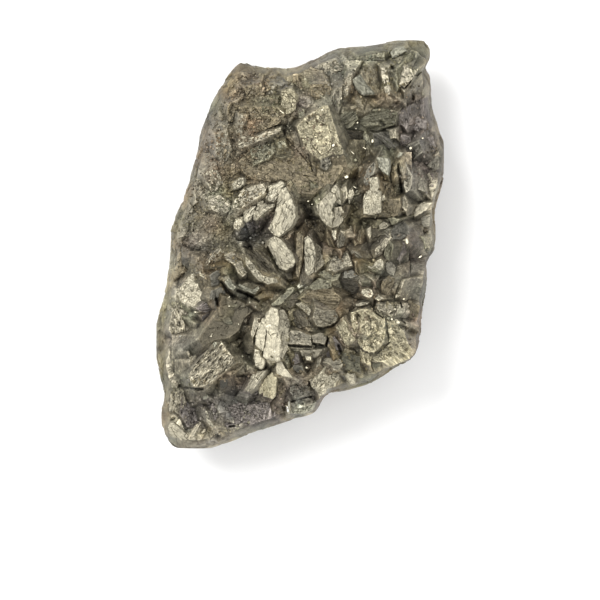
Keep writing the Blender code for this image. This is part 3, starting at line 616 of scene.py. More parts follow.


# Slabs of the face: outline in tenths of a millimetre, the direction its front leans to, the lean, how
# far it stands above the lump, its root's depth (for the pale ones), tint, shade and habit. The tint and
# shade give the front's tarnish together with painted light: bright fronts carry a painted reflection and
# dark ones painted shade. Each one's seed is its place in this list and the next, so a new one goes at the
# end of the facets.
slabs = {
    "longCream": ([-43,109, -28,112, -19,94, -11,71, -9,52, -17,35, -32,22, -42,12, -53,18, -63,30, -58,41,
        -49,56, -46,85], 180, 20, 3.8, 6.0, "cream", 1.0, "bark"),
    "longCreamSide": ([-22,108, -12,96, 2,78, 12,56, 6,36, -14,30, -10,60], 10, 34, 1.4, 5.0, "brown", 1.3,
        "rough"),
    "longCreamCap": ([-64,113, -51,116, -38,124, -30,119, -32,113, -44,107, -45,91, -53,82, -62,83, -68,91,
        -62,102], 150, 8, 3.0, 5.0, "cream", 0.85, "bark"),
    "flatLeft": ([-112,109, -74,119, -67,107, -69,98, -88,87, -101,79, -120,66, -132,70, -130,85], 110, 12,
        2.8, 5.0, "tan", 1.1, "bark"),
    "knobLeft": ([-134,121, -120,130, -110,131, -111,117, -122,110, -132,109], 130, 10, 2.2, 4.0, "cream",
        0.85, "rough"),
    "lowerLeftA": ([-137,52, -120,58, -112,56, -112,45, -116,35, -122,26, -130,31, -132,41], 140, 14, 2.6,
        4.0, "cream", 1.15, "rough"),
    "lowerLeftB": ([-112,61, -97,74, -88,75, -91,62, -97,49, -107,42, -113,46], 140, 14, 3.0, 5.0, "cream",
        0.86, "bark"),
    "lowerLeftC": ([-84,81, -74,85, -63,77, -51,79, -51,73, -67,64, -72,56, -86,45, -93,49, -91,60, -87,71],
        120, 12, 3.2, 5.0, "cream", 0.8, "rough"),
    "broadBrown": ([-124,160, -96,192, -60,204, -34,214, -6,210, 10,186, 30,166, 40,140, 66,120, 39,107,
        29,97, 4,100, -20,98, -30,122, -68,124, -106,134], 80, 5, 0.4, 5.0, "brown", 0.94, "plain"),
    "raggedEdge": ([-121,187, -106,194, -86,201, -62,211, -38,224, -39,230, -64,222, -88,212, -104,209,
        -116,214, -122,204], 120, 20, 1.5, 4.0, "tan", 1.08, "striped"),
    "raggedSide": ([-124,200, -117,208, -113,232, -112,254, -119,256, -126,232], 180, 24, 1.4, 4.0, "tan",
        1.1, "striped"),
    "granularTop": ([-118,270, -70,272, -46,270, -30,254, -42,238, -76,222, -116,216], 140, 10, 0.8, 4.0,
        "brown", 1.0, "rough"),
    "brassBlock": ([-8,232, 11,250, 47,273, 56,271, 62,252, 68,232, 78,204, 86,177, 62,175, 41,165, 25,175,
        7,195, -4,220], 200, 8, 3.6, 6.0, "straw", 0.66, "wormy"),
    "brassBlockFoot": ([41,165, 86,177, 94,155, 100,142, 94,128, 70,120, 44,132, 34,152], 250, 16, 2.0, 5.0,
        "brown", 0.9, "plain"),
    "diamondLeft": ([33,77, 47,89, 58,101, 68,97, 72,87, 66,75, 62,66, 68,56, 64,46, 62,32, 53,36, 43,48,
        35,60], 200, 14, 4.2, 7.0, "cream", 0.9, "bark"),
    "diamondTop": ([62,109, 72,117, 78,107, 80,89, 81,77, 72,79, 70,93, 62,99], 180, 16, 4.0, 6.0, "cream",
        0.85, "bark"),
    "diamondMid": ([78,107, 91,114, 95,101, 94,91, 86,79, 80,85], 200, 14, 3.8, 6.0, "tan", 1.35, "bark"),
    "diamondRight": ([97,107, 104,109, 109,98, 102,87, 97,78, 95,89], 200, 12, 3.4, 6.0, "cream", 0.9,
        "bark"),
    "diamondFoot": ([68,72, 82,72, 88,62, 86,46, 76,34, 64,32, 68,56], 330, 12, 2.9, 6.0, "tan", 1.25,
        "bark"),
    "middleCream": ([-63,6, -51,14, -38,8, -28,-5, -17,-18, -8,-36, -13,-43, -28,-54, -42,-49, -47,-40,
        -53,-24, -63,-5], 200, 16, 3.2, 6.0, "cream", 0.9, "bark"),
    "thinPrism": ([-6,21, 2,26, 7,15, 6,-15, 2,-46, -2,-68, -8,-66, -9,-25], 180, 10, 2.6, 5.0, "brown",
        0.8, "plain"),
    "tallSlab": ([9,11, 16,15, 25,5, 31,-13, 29,-36, 27,-58, 17,-64, 10,-56, 9,-25], 180, 14, 3.6, 6.0,
        "cream", 0.78, "bark"),
    "tallSlabSide": ([31,1, 47,-13, 60,-21, 56,-36, 41,-48, 29,-58, 30,-36], 20, 30, 1.7, 5.0, "tan", 1.0,
        "rough"),
    # darkTop's dark tint is painted shade: the trough it stands for lies in shade.
    "darkTop": ([-109,-20, -93,-11, -74,-15, -59,-30, -46,-53, -38,-70, -51,-78, -67,-76, -80,-62, -97,-49,
        -111,-34], 50, 12, 4.4, 5.0, "dark", 0.8, "striped"),
    "smallLeft": ([-132,-41, -116,-34, -107,-36, -101,-49, -107,-61, -114,-66, -124,-57], 210, 12, 2.8, 5.0,
        "tan", 1.35, "rough"),
    "smallLeftTop": ([-151,-22, -135,-17, -120,-24, -118,-34, -134,-41, -147,-32], 140, 10, 2.0, 4.0, "tan",
        1.05, "rough"),
    "leftPatch": ([-216,-59, -204,-55, -185,-68, -173,-84, -178,-95, -187,-108, -197,-118, -220,-128,
        -235,-116, -243,-99, -235,-82, -223,-68], 160, 16, 2.6, 6.0, "cream", 0.92, "crackled"),
    "roughLower": ([-173,-195, -158,-191, -146,-207, -132,-225, -126,-235, -144,-250, -162,-262, -173,-274,
        -193,-284, -209,-286, -221,-266, -213,-247, -193,-223], 150, 12, 2.6, 6.0, "tan", 1.25, "layered"),
    "whiteTall": ([-69,-140, -57,-127, -45,-130, -41,-148, -43,-171, -37,-195, -41,-217, -39,-231, -49,-234,
        -65,-229, -73,-223, -71,-199, -66,-175, -70,-156], 190, 10, 4.2, 7.0, "cream", 1.1, "smooth"),
    "whiteTallSide": ([-44,-130, -32,-132, -22,-150, -20,-180, -26,-210, -34,-228, -40,-222, -42,-190,
        -45,-166], 10, 22, 3.4, 6.0, "cream", 0.72, "rough"),
    "whiteSecond": ([-76,-150, -71,-148, -67,-159, -68,-177, -70,-197, -73,-213, -80,-209, -88,-199,
        -88,-183, -82,-161], 190, 12, 3.6, 6.0, "cream", 1.06, "smooth"),
    "whiteThird": ([-90,-148, -78,-147, -81,-161, -88,-177, -94,-189, -98,-177, -94,-161], 180, 16, 2.6,
        5.0, "tan", 1.2, "bark"),
    "whiteFoot": ([-90,-209, -80,-213, -76,-225, -70,-233, -73,-245, -77,-249, -88,-244, -91,-229], 190, 10,
        3.4, 6.0, "cream", 1.12, "smooth"),
    "wedge": ([-46,-235, -37,-231, -33,-241, -23,-254, -14,-266, -33,-263, -45,-259, -47,-247], 200, 8, 3.4,
        6.0, "cream", 0.98, "smooth"),
    "yellowFoot": ([-73,-274, -65,-262, -55,-257, -46,-264, -47,-284, -49,-302, -56,-307, -73,-304,
        -73,-290], 240, 12, 3.4, 6.0, "brass", 1.3, "crackled"),
    "yellowSliver": ([-78,-280, -73,-276, -73,-296, -80,-298, -83,-290], 220, 12, 4.0, 5.0, "brass", 1.5,
        "plain"),
    "pinkSlab": ([-94,-254, -78,-252, -66,-250, -71,-260, -80,-274, -86,-284, -100,-294, -110,-292,
        -100,-274], 150, 18, 3.2, 6.0, "cream", 0.78, "striped"),
    "lowerBrass": ([17,-271, 29,-253, 47,-241, 62,-243, 68,-253, 78,-259, 76,-269, 62,-281, 51,-296,
        41,-302, 31,-292, 23,-281], 200, 8, 3.2, 6.0, "cream", 0.86, "folded"),
    "smallWedge": ([85,-256, 107,-257, 110,-279, 102,-280, 92,-267], 200, 10, 2.8, 5.0, "cream", 0.85,
        "plain"),
    "upperRightA": ([150,170, 160,170, 172,168, 176,162, 176,148, 174,134, 166,138, 160,146, 152,152], 180,
        10, 3.8, 6.0, "pale", 1.15, "plain"),
    "rightCream": ([138,106, 137,129, 153,131, 156,110, 152,106, 161,103, 160,76, 159,61, 142,57, 126,59,
        125,82, 129,103], 180, 8, 4.8, 6.0, "cream", 0.98, "crackled"),
    "rightCreamSide": ([156,124, 180,120, 196,86, 182,60, 160,62, 158,90], 20, 26, 2.4, 5.0, "brown", 1.0,
        "rough"),
    "curvedCream": ([86,-149, 94,-159, 94,-171, 102,-179, 110,-190, 102,-200, 92,-202, 82,-185, 72,-167,
        80,-159], 200, 10, 2.8, 5.0, "brass", 0.85, "rough"),
    "yellowMass": ([102,-134, 123,-127, 147,-132, 168,-148, 170,-176, 162,-202, 146,-216, 128,-212,
        116,-200, 111,-185, 100,-159], 170, 10, 1.9, 6.0, "straw", 0.88, "folded"),
    "yellowMassB": ([158,-158, 176,-152, 198,-172, 204,-200, 186,-222, 164,-216, 154,-186], 330, 12, 2.3,
        6.0, "straw", 0.9, "folded"),
    "yellowMassC": ([151,-118, 164,-112, 182,-120, 186,-132, 172,-143, 160,-139, 153,-130], 150, 12, 2.2,
        5.0, "tan", 0.87, "folded"),
    "yellowMassD": ([168,-147, 184,-134, 196,-149, 200,-167, 184,-163], 20, 14, 2.2, 5.0, "tan", 1.1,
        "rough"),
    "lensLow": ([145,-216, 158,-212, 166,-224, 160,-240, 148,-250, 139,-240, 140,-226], 250, 16, 3.0, 5.0,
        "olive", 0.82, "plain"),
    "cornerKnob": ([192,-208, 220,-204, 223,-218, 211,-229, 194,-228], 300, 12, 3.4, 5.0, "cream", 1.0,
        "folded"),
    "topYellow": ([-36,304, -16,308, -4,294, -8,264, -26,256, -38,276], 140, 10, 1.8, 5.0, "brass", 0.85,
        "rough"),
    "paleTriangle": ([104,326, 119,334, 131,314, 147,297, 123,295, 109,308], 240, 16, 3.6, 5.0, "pale", 1.1,
        "plain"),
    "thinBright": ([160,350, 170,348, 176,326, 182,297, 172,295, 164,314], 170, 18, 3.0, 5.0, "tan", 1.05,
        "bark"),
    "topRightBlock": ([190,346, 200,357, 223,346, 227,332, 211,314, 207,301, 198,312, 190,330], 120, 12,
        3.2, 5.0, "tan", 1.2, "plain"),
    "topKnob": ([180,383, 192,393, 207,393, 213,385, 196,375, 184,371], 120, 12, 1.8, 4.0, "pale", 1.05,
        "plain"),
    "cornerPale": ([-260,-359, -253,-357, -241,-367, -225,-383, -224,-389, -232,-395, -247,-389, -260,-383,
        -264,-367], 220, 14, 1.9, 5.0, "cream", 0.95, "bark"),
    "cornerLow": ([-229,-393, -213,-385, -193,-381, -185,-391, -189,-401, -209,-406, -225,-406], 270, 22,
        1.0, 4.0, "tan", 1.05, "bark"),
    "palePatchLow": ([-20,-330, -8,-322, 21,-308, 32,-316, 26,-330, 4,-338, -18,-339], 280, 20, 1.0, 4.0,
        "pale", 1.4, "rough"),
    "lensLeft": ([-183,86, -160,96, -138,84, -136,66, -154,58, -176,68], 150, 10, 1.2, 4.0, "tan", 0.95,
        "plain"),
}

# The flat breaks between the slabs, part of the face's own surface: the same without the depth.
facets = [
    # The broad brown front and what borders it.
    ([-100,186, -76,200, -50,206, -44,186, -64,166, -92,154], 110, 7, 0.9, "olive", 1.1, "folded"),
    ([-16,108, 6,104, 20,112, 26,94, 10,82, -4,90], 240, 24, 0.8, "dark", 1.05, "plain"),
    ([20,122, 36,116, 40,108, 28,94, 20,108], 300, 12, 1.4, "olive", 1.05, "plain"),
    ([40,172, 60,178, 76,168, 86,148, 72,128, 66,116, 44,112, 32,128, 36,152], 200, 8, 1.6, "brown", 1.15,
     "plain"),
    ([40,170, 58,174, 62,158, 52,144, 40,150], 250, 8, 2.5, "grey", 1.0, "rough"),
    ([76,208, 90,202, 86,184, 90,158, 80,148, 72,168, 68,188], 350, 36, 2.8, "brown", 0.76, "plain"),
    ([-46,204, -30,202, -26,192, -42,188], 120, 10, 2.4, "olive", 1.25, "plain"),
    ([-60,288, -44,290, -42,272, -60,270], 200, 10, 1.0, "brown", 0.68, "plain"),
    ([-58,262, -42,262, -42,248, -56,246], 140, 10, 1.2, "tan", 1.5, "rough"),
    ([-4,268, 10,266, 8,252, -2,250], 160, 10, 1.6, "olive", 0.88, "plain"),
    ([12,238, 32,248, 54,236, 63,212, 62,189, 52,180, 42,176, 28,190, 16,212], 200, 8, 3.8, "straw", 1.06,
     "wormy"),
    ([44,268, 56,270, 62,250, 50,236, 36,240, 30,252], 120, 10, 4.2, "brass", 0.5, "bark"),
    # The dark valley left of the middle prism, and the small lumps in it.
    ([8,78, 20,62, 36,44, 50,30, 24,32, 12,52, 0,68], 200, 20, 2.6, "brown", 0.55, "plain"),
    ([-2,50, 10,54, 14,42, 8,36, -4,38], 160, 10, 3.4, "cream", 1.3, "rough"),
    ([-20,92, -14,78, -8,60, -12,44, -18,36, -22,58, -24,78], 350, 18, 4.3, "cream", 0.85, "rough"),
    ([82,72, 92,78, 100,76, 96,60, 88,48, 82,58], 20, 18, 2.6, "brown", 0.62, "plain"),
    ([62,26, 72,26, 72,8, 68,6, 64,16], 180, 14, 2.8, "cream", 0.62, "plain"),
    ([54,18, 64,4, 70,-10, 60,-8, 52,8], 230, 20, 2.0, "brown", 1.0, "striped"),
    ([74,18, 82,24, 90,12, 86,-4, 76,-10, 72,2], 10, 16, 2.2, "tan", 0.68, "striped"),
    ([-34,-56, -20,-48, -8,-38, -6,-56, -10,-70, -24,-70], 20, 20, 1.2, "dark", 0.72, "plain"),
    ([-68,-24, -60,-32, -48,-46, -38,-56, -44,-54, -58,-40], 210, 20, 2.8, "cream", 0.44, "rough"),
    # The rounded block: three fronts, broken fragments and slivers round it.
    ([24,-78, 36,-68, 50,-64, 64,-74, 62,-86, 50,-92, 28,-92, 18,-88], 90, 20, 2.6, "olive", 1.1, "plain"),
    ([-2,-92, 12,-78, 22,-74, 18,-90, 10,-106, 4,-108, 0,-98], 140, 16, 2.4, "olive", 1.55, "plain"),
    ([2,-110, 12,-100, 24,-94, 44,-92, 68,-96, 82,-106, 82,-120, 72,-128, 60,-132, 40,-132, 24,-122,
     10,-118], 270, 8, 3.2, "brown", 1.1, "striped"),
    ([30,-126, 44,-132, 68,-132, 76,-144, 74,-154, 62,-162, 44,-166, 34,-164, 24,-148], 300, 26, 2.2, "tan",
     0.86, "rough"),
    ([0,-118, 12,-124, 22,-132, 24,-144, 16,-142, 4,-130, -8,-120], 230, 26, 2.4, "cream", 0.6, "rough"),
    ([-56,-120, -50,-114, -34,-100, -24,-90, -16,-86, -8,-88, -20,-102, -32,-116, -42,-122, -54,-124], 130,
     16, 2.6, "olive", 1.0, "plain"),
    ([-38,-118, -20,-106, -6,-96, 4,-108, -8,-122, -20,-128, -34,-126], 300, 18, 1.8, "dark", 0.86,
     "plain"),
    ([-18,-134, 2,-130, 14,-144, 18,-164, 0,-168, -14,-156], 200, 14, 0.6, "dark", 0.86, "plain"),
    ([-6,-84, 4,-74, 10,-70, 12,-78, 2,-88, -4,-90], 120, 12, 3.0, "pale", 0.88, "plain"),
    ([54,-54, 60,-36, 74,-22, 92,-16, 100,-30, 104,-44, 88,-48, 72,-56], 110, 12, 2.4, "tan", 0.9, "rough"),
    ([32,-60, 48,-52, 68,-56, 82,-56, 76,-70, 62,-76, 44,-66], 80, 18, 1.9, "olive", 1.15, "plain"),
    ([86,-54, 104,-52, 114,-64, 100,-70, 86,-68], 130, 12, 1.8, "slate", 0.84, "plain"),
    # The dark slab's rim and the left half's smooth breaks.
    ([-108,-26, -96,-36, -86,-50, -74,-63, -60,-68, -46,-70, -44,-78, -64,-80, -82,-74, -96,-58, -108,-40],
     225, 2, 5.5, "cream", 0.56, "rough"),
    ([-202,-54, -184,-52, -178,-60, -188,-70, -200,-64], 150, 12, 3.2, "tan", 1.7, "rough"),
    ([-160,-4, -156,-12, -184,-44, -188,-40], 130, 20, 2.6, "tan", 0.8, "striped"),
    ([-206,-36, -194,-28, -184,-28, -188,-40, -200,-46], 300, 20, 1.6, "slate", 0.65, "plain"),
    ([-190,-44, -170,-44, -136,-44, -124,-56, -144,-56, -170,-52, -190,-50], 270, 26, 2.2, "brown", 0.42,
     "plain"),
    ([-180,-62, -164,-52, -144,-56, -138,-66, -152,-74, -156,-84, -174,-92, -176,-76], 320, 14, 1.4,
     "slate", 0.84, "plain"),
    ([-176,-94, -156,-86, -138,-100, -136,-108, -146,-118, -152,-132, -162,-144, -168,-130, -170,-112,
     -180,-108], 330, 14, 1.5, "slate", 1.0, "plain"),
    ([-194,-118, -174,-112, -168,-120, -166,-130, -174,-138, -186,-138, -200,-134, -206,-128], 240, 14, 2.0,
     "violet", 1.35, "striped"),
    ([-196,-144, -180,-136, -176,-148, -184,-156, -194,-154], 300, 18, 2.2, "violet", 0.4, "plain"),
    ([-206,-160, -190,-156, -180,-156, -192,-170, -202,-172], 310, 14, 2.2, "slate", 0.48, "plain"),
    ([-150,-76, -140,-68, -134,-80, -126,-86, -132,-94, -142,-88], 220, 14, 3.6, "pale", 0.76, "striped"),
    ([-124,-87, -106,-95, -90,-101, -80,-90, -82,-84, -94,-92, -120,-81], 250, 26, 2.9, "pale", 0.95,
     "rough"),
    ([-100,-114, -88,-124, -84,-130, -94,-124, -102,-118], 220, 14, 2.2, "pale", 0.95, "striped"),
    ([-140,-112, -124,-112, -104,-124, -90,-132, -110,-148, -122,-172, -140,-188, -170,-192, -192,-204,
     -202,-190, -184,-164, -160,-134], 320, 12, 1.2, "dark", 0.98, "smooth"),
    ([-146,-120, -136,-114, -146,-134, -162,-162, -176,-186, -184,-186, -170,-160, -156,-138], 320, 10, 2.3,
     "tan", 1.0, "striped"),
    ([-176,-194, -164,-196, -168,-206, -176,-208], 200, 12, 3.2, "pale", 1.3, "plain"),
    ([-194,-260, -182,-260, -180,-268, -188,-274, -196,-270], 240, 12, 3.0, "tan", 1.0, "plain"),
    ([-240,-182, -230,-184, -228,-202, -234,-212, -240,-204], 180, 14, 3.4, "cream", 1.6, "rough"),
    ([-226,-216, -192,-178, -176,-170, -174,-184, -200,-212, -218,-232], 320, 12, 2.0, "tan", 1.0,
     "layered"),
    ([-220,-234, -198,-212, -180,-196, -178,-210, -194,-230, -214,-250], 320, 12, 2.2, "tan", 1.4,
     "striped"),
    ([-114,-196, -94,-194, -92,-224, -96,-244, -112,-236], 170, 34, 1.0, "olive", 0.85, "plain"),
    ([-144,-196, -120,-188, -114,-206, -116,-234, -134,-224], 10, 26, 0.4, "dark", 0.35, "plain"),
    ([-256,-128, -224,-132, -206,-158, -220,-186, -242,-200, -262,-172], 180, 12, 2.4, "tan", 1.25,
     "layered"),
    ([-262,-206, -234,-206, -228,-248, -246,-284, -266,-256], 180, 12, 2.2, "tan", 1.25, "folded"),
    ([-250,-68, -224,-52, -218,-24, -238,-16, -256,-40], 180, 10, 1.9, "brown", 1.2, "folded"),
    ([-246,10, -216,20, -204,60, -222,84, -240,54], 170, 12, 1.7, "tan", 0.72, "folded"),
    ([-210,80, -186,90, -178,132, -196,154, -210,120], 180, 12, 1.5, "tan", 1.05, "folded"),
    ([-246,-94, -226,-92, -210,-126, -228,-144, -250,-126], 190, 12, 2.2, "cream", 0.8, "folded"),
    ([-258,-298, -234,-284, -228,-316, -240,-340, -260,-332], 190, 14, 1.6, "tan", 1.05, "folded"),
    # The bottom hollow and its crystals.
    ([-160,-270, -142,-268, -144,-284, -158,-288], 270, 24, 1.6, "slate", 0.32, "plain"),
    ([-196,-294, -188,-292, -182,-304, -188,-310, -192,-310], 200, 14, 3.6, "pale", 0.72, "plain"),
    ([-203,-292, -199,-292, -193,-312, -197,-312], 200, 14, 3.6, "pale", 0.95, "plain"),
    ([-189,-332, -185,-333, -181,-350, -173,-361, -164,-365, -174,-367, -184,-356], 200, 16, 2.4, "cream",
     0.6, "plain"),
    ([-236,-304, -208,-296, -198,-320, -190,-350, -198,-370, -226,-366, -240,-336], 330, 4, 1.1, "violet",
     0.88, "rough"),
    ([-176,-300, -134,-288, -80,-304, -46,-316, -48,-344, -94,-360, -140,-366, -166,-360, -178,-334], 70, 3,
     1.0, "violet", 1.12, "rough"),
    # Round the white slabs and the bars beside them.
    ([-38,-202, -24,-206, -20,-222, -24,-244, -34,-228, -40,-212], 20, 18, 2.2, "olive", 1.25, "rough"),
    ([-36,-198, -32,-180, -16,-172, 0,-174, 22,-182, 22,-202, 0,-200], 90, 8, 2.8, "tan", 0.78, "plain"),
    ([24,-182, 40,-176, 58,-182, 52,-192, 48,-200, 26,-196], 60, 10, 2.6, "tan", 0.64, "plain"),
    ([58,-192, 68,-184, 80,-198, 84,-212, 60,-210, 54,-202], 330, 14, 1.8, "violet", 0.78, "plain"),
    ([52,-216, 60,-212, 82,-216, 76,-226, 60,-226, 50,-224], 280, 16, 1.2, "violet", 0.65, "plain"),
    ([0,-212, 20,-212, 44,-210, 36,-222, 20,-228, 4,-222], 270, 18, 2.4, "tan", 1.0, "plain"),
    ([10,-222, 22,-224, 22,-232, 12,-232], 260, 14, 2.8, "cream", 0.78, "rough"),
    ([-24,-212, -4,-220, 0,-236, -12,-240, -20,-228], 220, 16, 1.8, "violet", 1.0, "plain"),
    ([-14,-242, 4,-240, 8,-252, -4,-256, -16,-248], 250, 14, 1.6, "slate", 0.9, "plain"),
    ([44,-228, 76,-224, 86,-240, 80,-250, 66,-252, 62,-242, 52,-238, 42,-236], 70, 12, 2.6, "tan", 0.7,
     "plain"),
    ([34,-232, 42,-228, 40,-240, 32,-248], 200, 16, 2.8, "tan", 0.76, "striped"),
    ([84,-216, 120,-224, 120,-256, 90,-250, 82,-236], 300, 12, 1.4, "olive", 0.66, "plain"),
    ([-44,-268, -28,-268, -26,-284, -34,-296, -40,-308, -44,-292], 0, 26, 2.0, "brown", 0.85, "plain"),
    ([-20,-276, 0,-274, 16,-284, 12,-302, -8,-310, -20,-296], 250, 12, 1.6, "slate", 1.1, "rough"),
    ([-10,-328, 0,-320, 12,-322, 24,-316, 30,-320, 24,-338, 6,-342, -2,-336], 270, 16, 2.4, "pale", 2.0,
     "rough"),
    ([-29,-322, -24,-324, -19,-335, -23,-337], 230, 12, 2.6, "cream", 0.95, "plain"),
    # The yellowish mass at the lower right.
    ([100,-136, 130,-128, 160,-140, 186,-154, 206,-176, 216,-204, 204,-224, 174,-236, 144,-234, 124,-216,
     106,-186], 240, 6, 2.1, "straw", 0.82, "folded"),
    ([96,-134, 110,-130, 114,-150, 108,-166, 98,-160], 200, 12, 2.6, "brass", 0.42, "rough"),
    ([118,-156, 136,-144, 152,-154, 150,-174, 134,-184, 120,-174], 120, 14, 2.8, "brass", 0.8, "folded"),
    ([122,-182, 142,-186, 150,-202, 134,-216, 120,-204], 240, 16, 2.2, "brass", 0.7, "rough"),
    ([172,-128, 184,-118, 196,-122, 194,-138, 186,-148, 174,-144], 60, 12, 2.6, "tan", 1.05, "folded"),
    ([174,-150, 184,-146, 194,-152, 198,-160, 186,-162, 176,-158], 100, 14, 3.0, "cream", 0.8, "rough"),
    ([110,-122, 122,-116, 138,-116, 132,-122, 116,-124], 120, 10, 2.6, "tan", 0.95, "plain"),
    ([122,-92, 134,-88, 142,-92, 146,-100, 138,-108, 126,-104, 120,-98], 140, 8, 3.0, "cream", 0.8,
     "rough"),
    ([152,-100, 162,-104, 166,-110, 156,-114, 148,-110], 140, 8, 2.8, "cream", 0.65, "rough"),
    ([162,-204, 194,-212, 188,-232, 166,-236], 250, 14, 2.0, "brass", 0.74, "folded"),
    ([120,-210, 144,-216, 140,-242, 122,-236], 230, 14, 2.2, "brass", 0.95, "folded"),
    ([196,-170, 216,-166, 224,-190, 210,-202, 196,-194], 340, 12, 2.5, "brass", 0.42, "folded"),
    # The right side: broken prisms and smooth breaks.
    ([146,-40, 154,-32, 160,-30, 166,-36, 164,-48, 158,-52, 148,-46, 140,-50, 134,-46, 140,-40], 150, 10,
     3.2, "cream", 0.65, "rough"),
    ([108,-36, 124,-28, 140,-36, 136,-48, 146,-56, 148,-70, 124,-70, 110,-56], 320, 14, 2.0, "brown", 1.1,
     "plain"),
    ([120,-74, 136,-72, 154,-76, 156,-88, 142,-92, 124,-88], 270, 20, 1.6, "olive", 0.7, "plain"),
    ([168,-38, 180,-36, 190,-48, 186,-66, 178,-60, 170,-48], 30, 18, 2.8, "grey", 1.25, "plain"),
    ([164,-74, 176,-64, 188,-70, 182,-86, 172,-100, 162,-96, 160,-84], 210, 16, 2.4, "brown", 0.82,
     "plain"),
    ([192,-76, 200,-66, 208,-72, 202,-90, 198,-104, 190,-108, 190,-90], 180, 16, 2.6, "tan", 2.1,
     "striped"),
    ([220,-52, 232,-38, 248,-40, 252,-60, 248,-80, 232,-88, 220,-72], 350, 12, 2.4, "violet", 0.56,
     "plain"),
    ([208,-64, 220,-40, 226,-44, 216,-68], 210, 14, 3.2, "grey", 1.05, "striped"),
    ([212,-92, 224,-78, 238,-92, 230,-106, 216,-108], 300, 14, 1.8, "slate", 0.74, "plain"),
    ([204,-114, 218,-112, 232,-120, 230,-138, 220,-152, 204,-148, 202,-130], 330, 12, 2.5, "brown", 0.6,
     "plain"),
    ([168,-4, 178,6, 186,-4, 182,-24, 174,-36, 166,-24], 190, 20, 2.8, "olive", 0.98, "striped"),
    ([188,-4, 200,8, 208,0, 204,-20, 196,-34, 186,-28], 160, 20, 2.9, "violet", 1.05, "striped"),
    ([180,24, 192,40, 204,44, 216,36, 216,16, 200,8, 184,8], 30, 16, 2.8, "slate", 0.85, "plain"),
    ([206,8, 212,12, 216,2, 210,-4], 200, 14, 4.6, "cream", 1.1, "plain"),
    ([220,0, 232,20, 248,12, 250,-8, 236,-24, 222,-28], 340, 16, 2.6, "olive", 1.1, "plain"),
    ([236,-26, 242,-22, 244,-26, 238,-30], 200, 14, 3.4, "cream", 0.95, "plain"),
    ([168,8, 178,22, 182,12, 172,-4, 162,-16, 150,-24, 148,-12, 158,-4], 150, 14, 2.8, "tan", 1.15,
     "rough"),
    ([144,30, 160,28, 168,20, 158,6, 146,4, 142,16], 250, 16, 2.0, "dark", 0.85, "plain"),
    ([104,12, 114,28, 124,24, 120,0, 108,-6], 200, 14, 2.4, "brown", 1.05, "striped"),
    ([132,28, 140,32, 142,18, 138,8, 134,16], 190, 12, 2.8, "tan", 1.12, "striped"),
    ([100,-14, 112,-16, 124,-28, 116,-30, 102,-20], 210, 16, 2.6, "tan", 0.8, "striped"),
    # Between the right cream block and the edge.
    ([142,158, 148,162, 150,148, 146,138, 138,132, 136,118, 132,112, 126,122, 128,134, 134,148], 180, 18,
     3.8, "grey", 1.2, "plain"),
    ([162,94, 166,96, 168,88, 162,84], 180, 10, 4.4, "cream", 1.0, "plain"),
    ([126,58, 144,60, 168,64, 172,56, 152,52, 124,52], 280, 20, 3.4, "brown", 1.05, "plain"),
    ([174,88, 198,90, 200,76, 194,56, 184,52, 174,64], 340, 12, 2.9, "brown", 0.95, "plain"),
    ([200,92, 208,96, 216,76, 210,64, 202,72], 20, 14, 2.9, "tan", 1.15, "rough"),
    ([174,50, 186,52, 198,48, 192,40, 182,38], 250, 14, 2.6, "olive", 1.35, "plain"),
    ([156,36, 166,44, 176,38, 170,30, 158,28], 230, 12, 2.8, "tan", 0.9, "plain"),
    ([202,160, 208,164, 216,148, 222,136, 222,116, 216,104, 210,100, 206,116, 206,136], 190, 14, 3.2,
     "grey", 1.55, "plain"),
    ([222,144, 236,146, 242,132, 248,116, 248,104, 234,108, 226,124], 20, 14, 2.6, "grey", 1.65, "plain"),
    ([250,136, 258,142, 268,124, 278,116, 278,96, 268,88, 256,94, 250,112], 190, 12, 2.8, "tan", 1.5,
     "plain"),
    ([224,68, 234,78, 248,84, 256,80, 250,66, 238,58, 228,54], 100, 12, 2.6, "tan", 1.08, "plain"),
    ([220,44, 240,54, 260,60, 266,48, 260,32, 240,36], 310, 12, 2.4, "grey", 1.3, "plain"),
    ([250,16, 258,28, 264,16, 260,0, 252,4], 200, 12, 2.6, "tan", 1.6, "plain"),
    ([254,156, 272,174, 280,188, 286,180, 286,156, 276,148, 260,152], 330, 10, 2.2, "grey", 0.88, "plain"),
    ([192,172, 198,182, 204,180, 200,170], 200, 10, 2.8, "pale", 1.05, "plain"),
    ([180,148, 188,152, 192,132, 184,126, 180,136], 200, 20, 2.6, "brown", 1.5, "striped"),
    # The upper right.
    ([84,226, 128,224, 148,206, 138,186, 106,178, 92,194], 350, 24, 0.6, "dark", 0.58, "striped"),
    ([110,260, 160,270, 194,262, 190,238, 154,224, 116,230], 240, 12, 0.9, "olive", 0.85, "striped"),
    ([144,220, 176,222, 196,196, 176,176, 150,184], 20, 10, 1.3, "slate", 0.9, "striped"),
    ([196,274, 220,276, 220,252, 212,226, 194,246], 0, 12, 1.4, "violet", 1.05, "striped"),
    ([204,194, 236,206, 244,182, 224,166, 204,170], 210, 12, 1.2, "slate", 1.05, "striped"),
    ([238,214, 264,212, 270,178, 248,182], 340, 10, 1.2, "violet", 0.95, "plain"),
    ([234,290, 256,292, 264,246, 252,228, 236,256], 10, 14, 1.2, "violet", 1.0, "striped"),
    ([36,352, 70,364, 94,346, 70,324, 40,320, 24,336], 110, 12, 1.2, "tan", 0.95, "folded"),
    ([20,316, 54,316, 70,298, 50,278, 22,282], 200, 12, 1.4, "brown", 1.3, "folded"),
    ([-14,334, 18,332, 20,308, 0,296, -16,308], 130, 12, 1.2, "brown", 1.1, "folded"),
    ([106,360, 146,358, 154,338, 124,336, 102,342], 90, 12, 0.9, "tan", 1.3, "folded"),
    ([128,316, 154,338, 162,316, 168,294, 146,292], 220, 10, 0.5, "dark", 0.52, "plain"),
    ([236,334, 258,332, 258,296, 240,294], 0, 10, 1.6, "tan", 0.86, "plain"),
    # The bright edge slopes of the upper left.
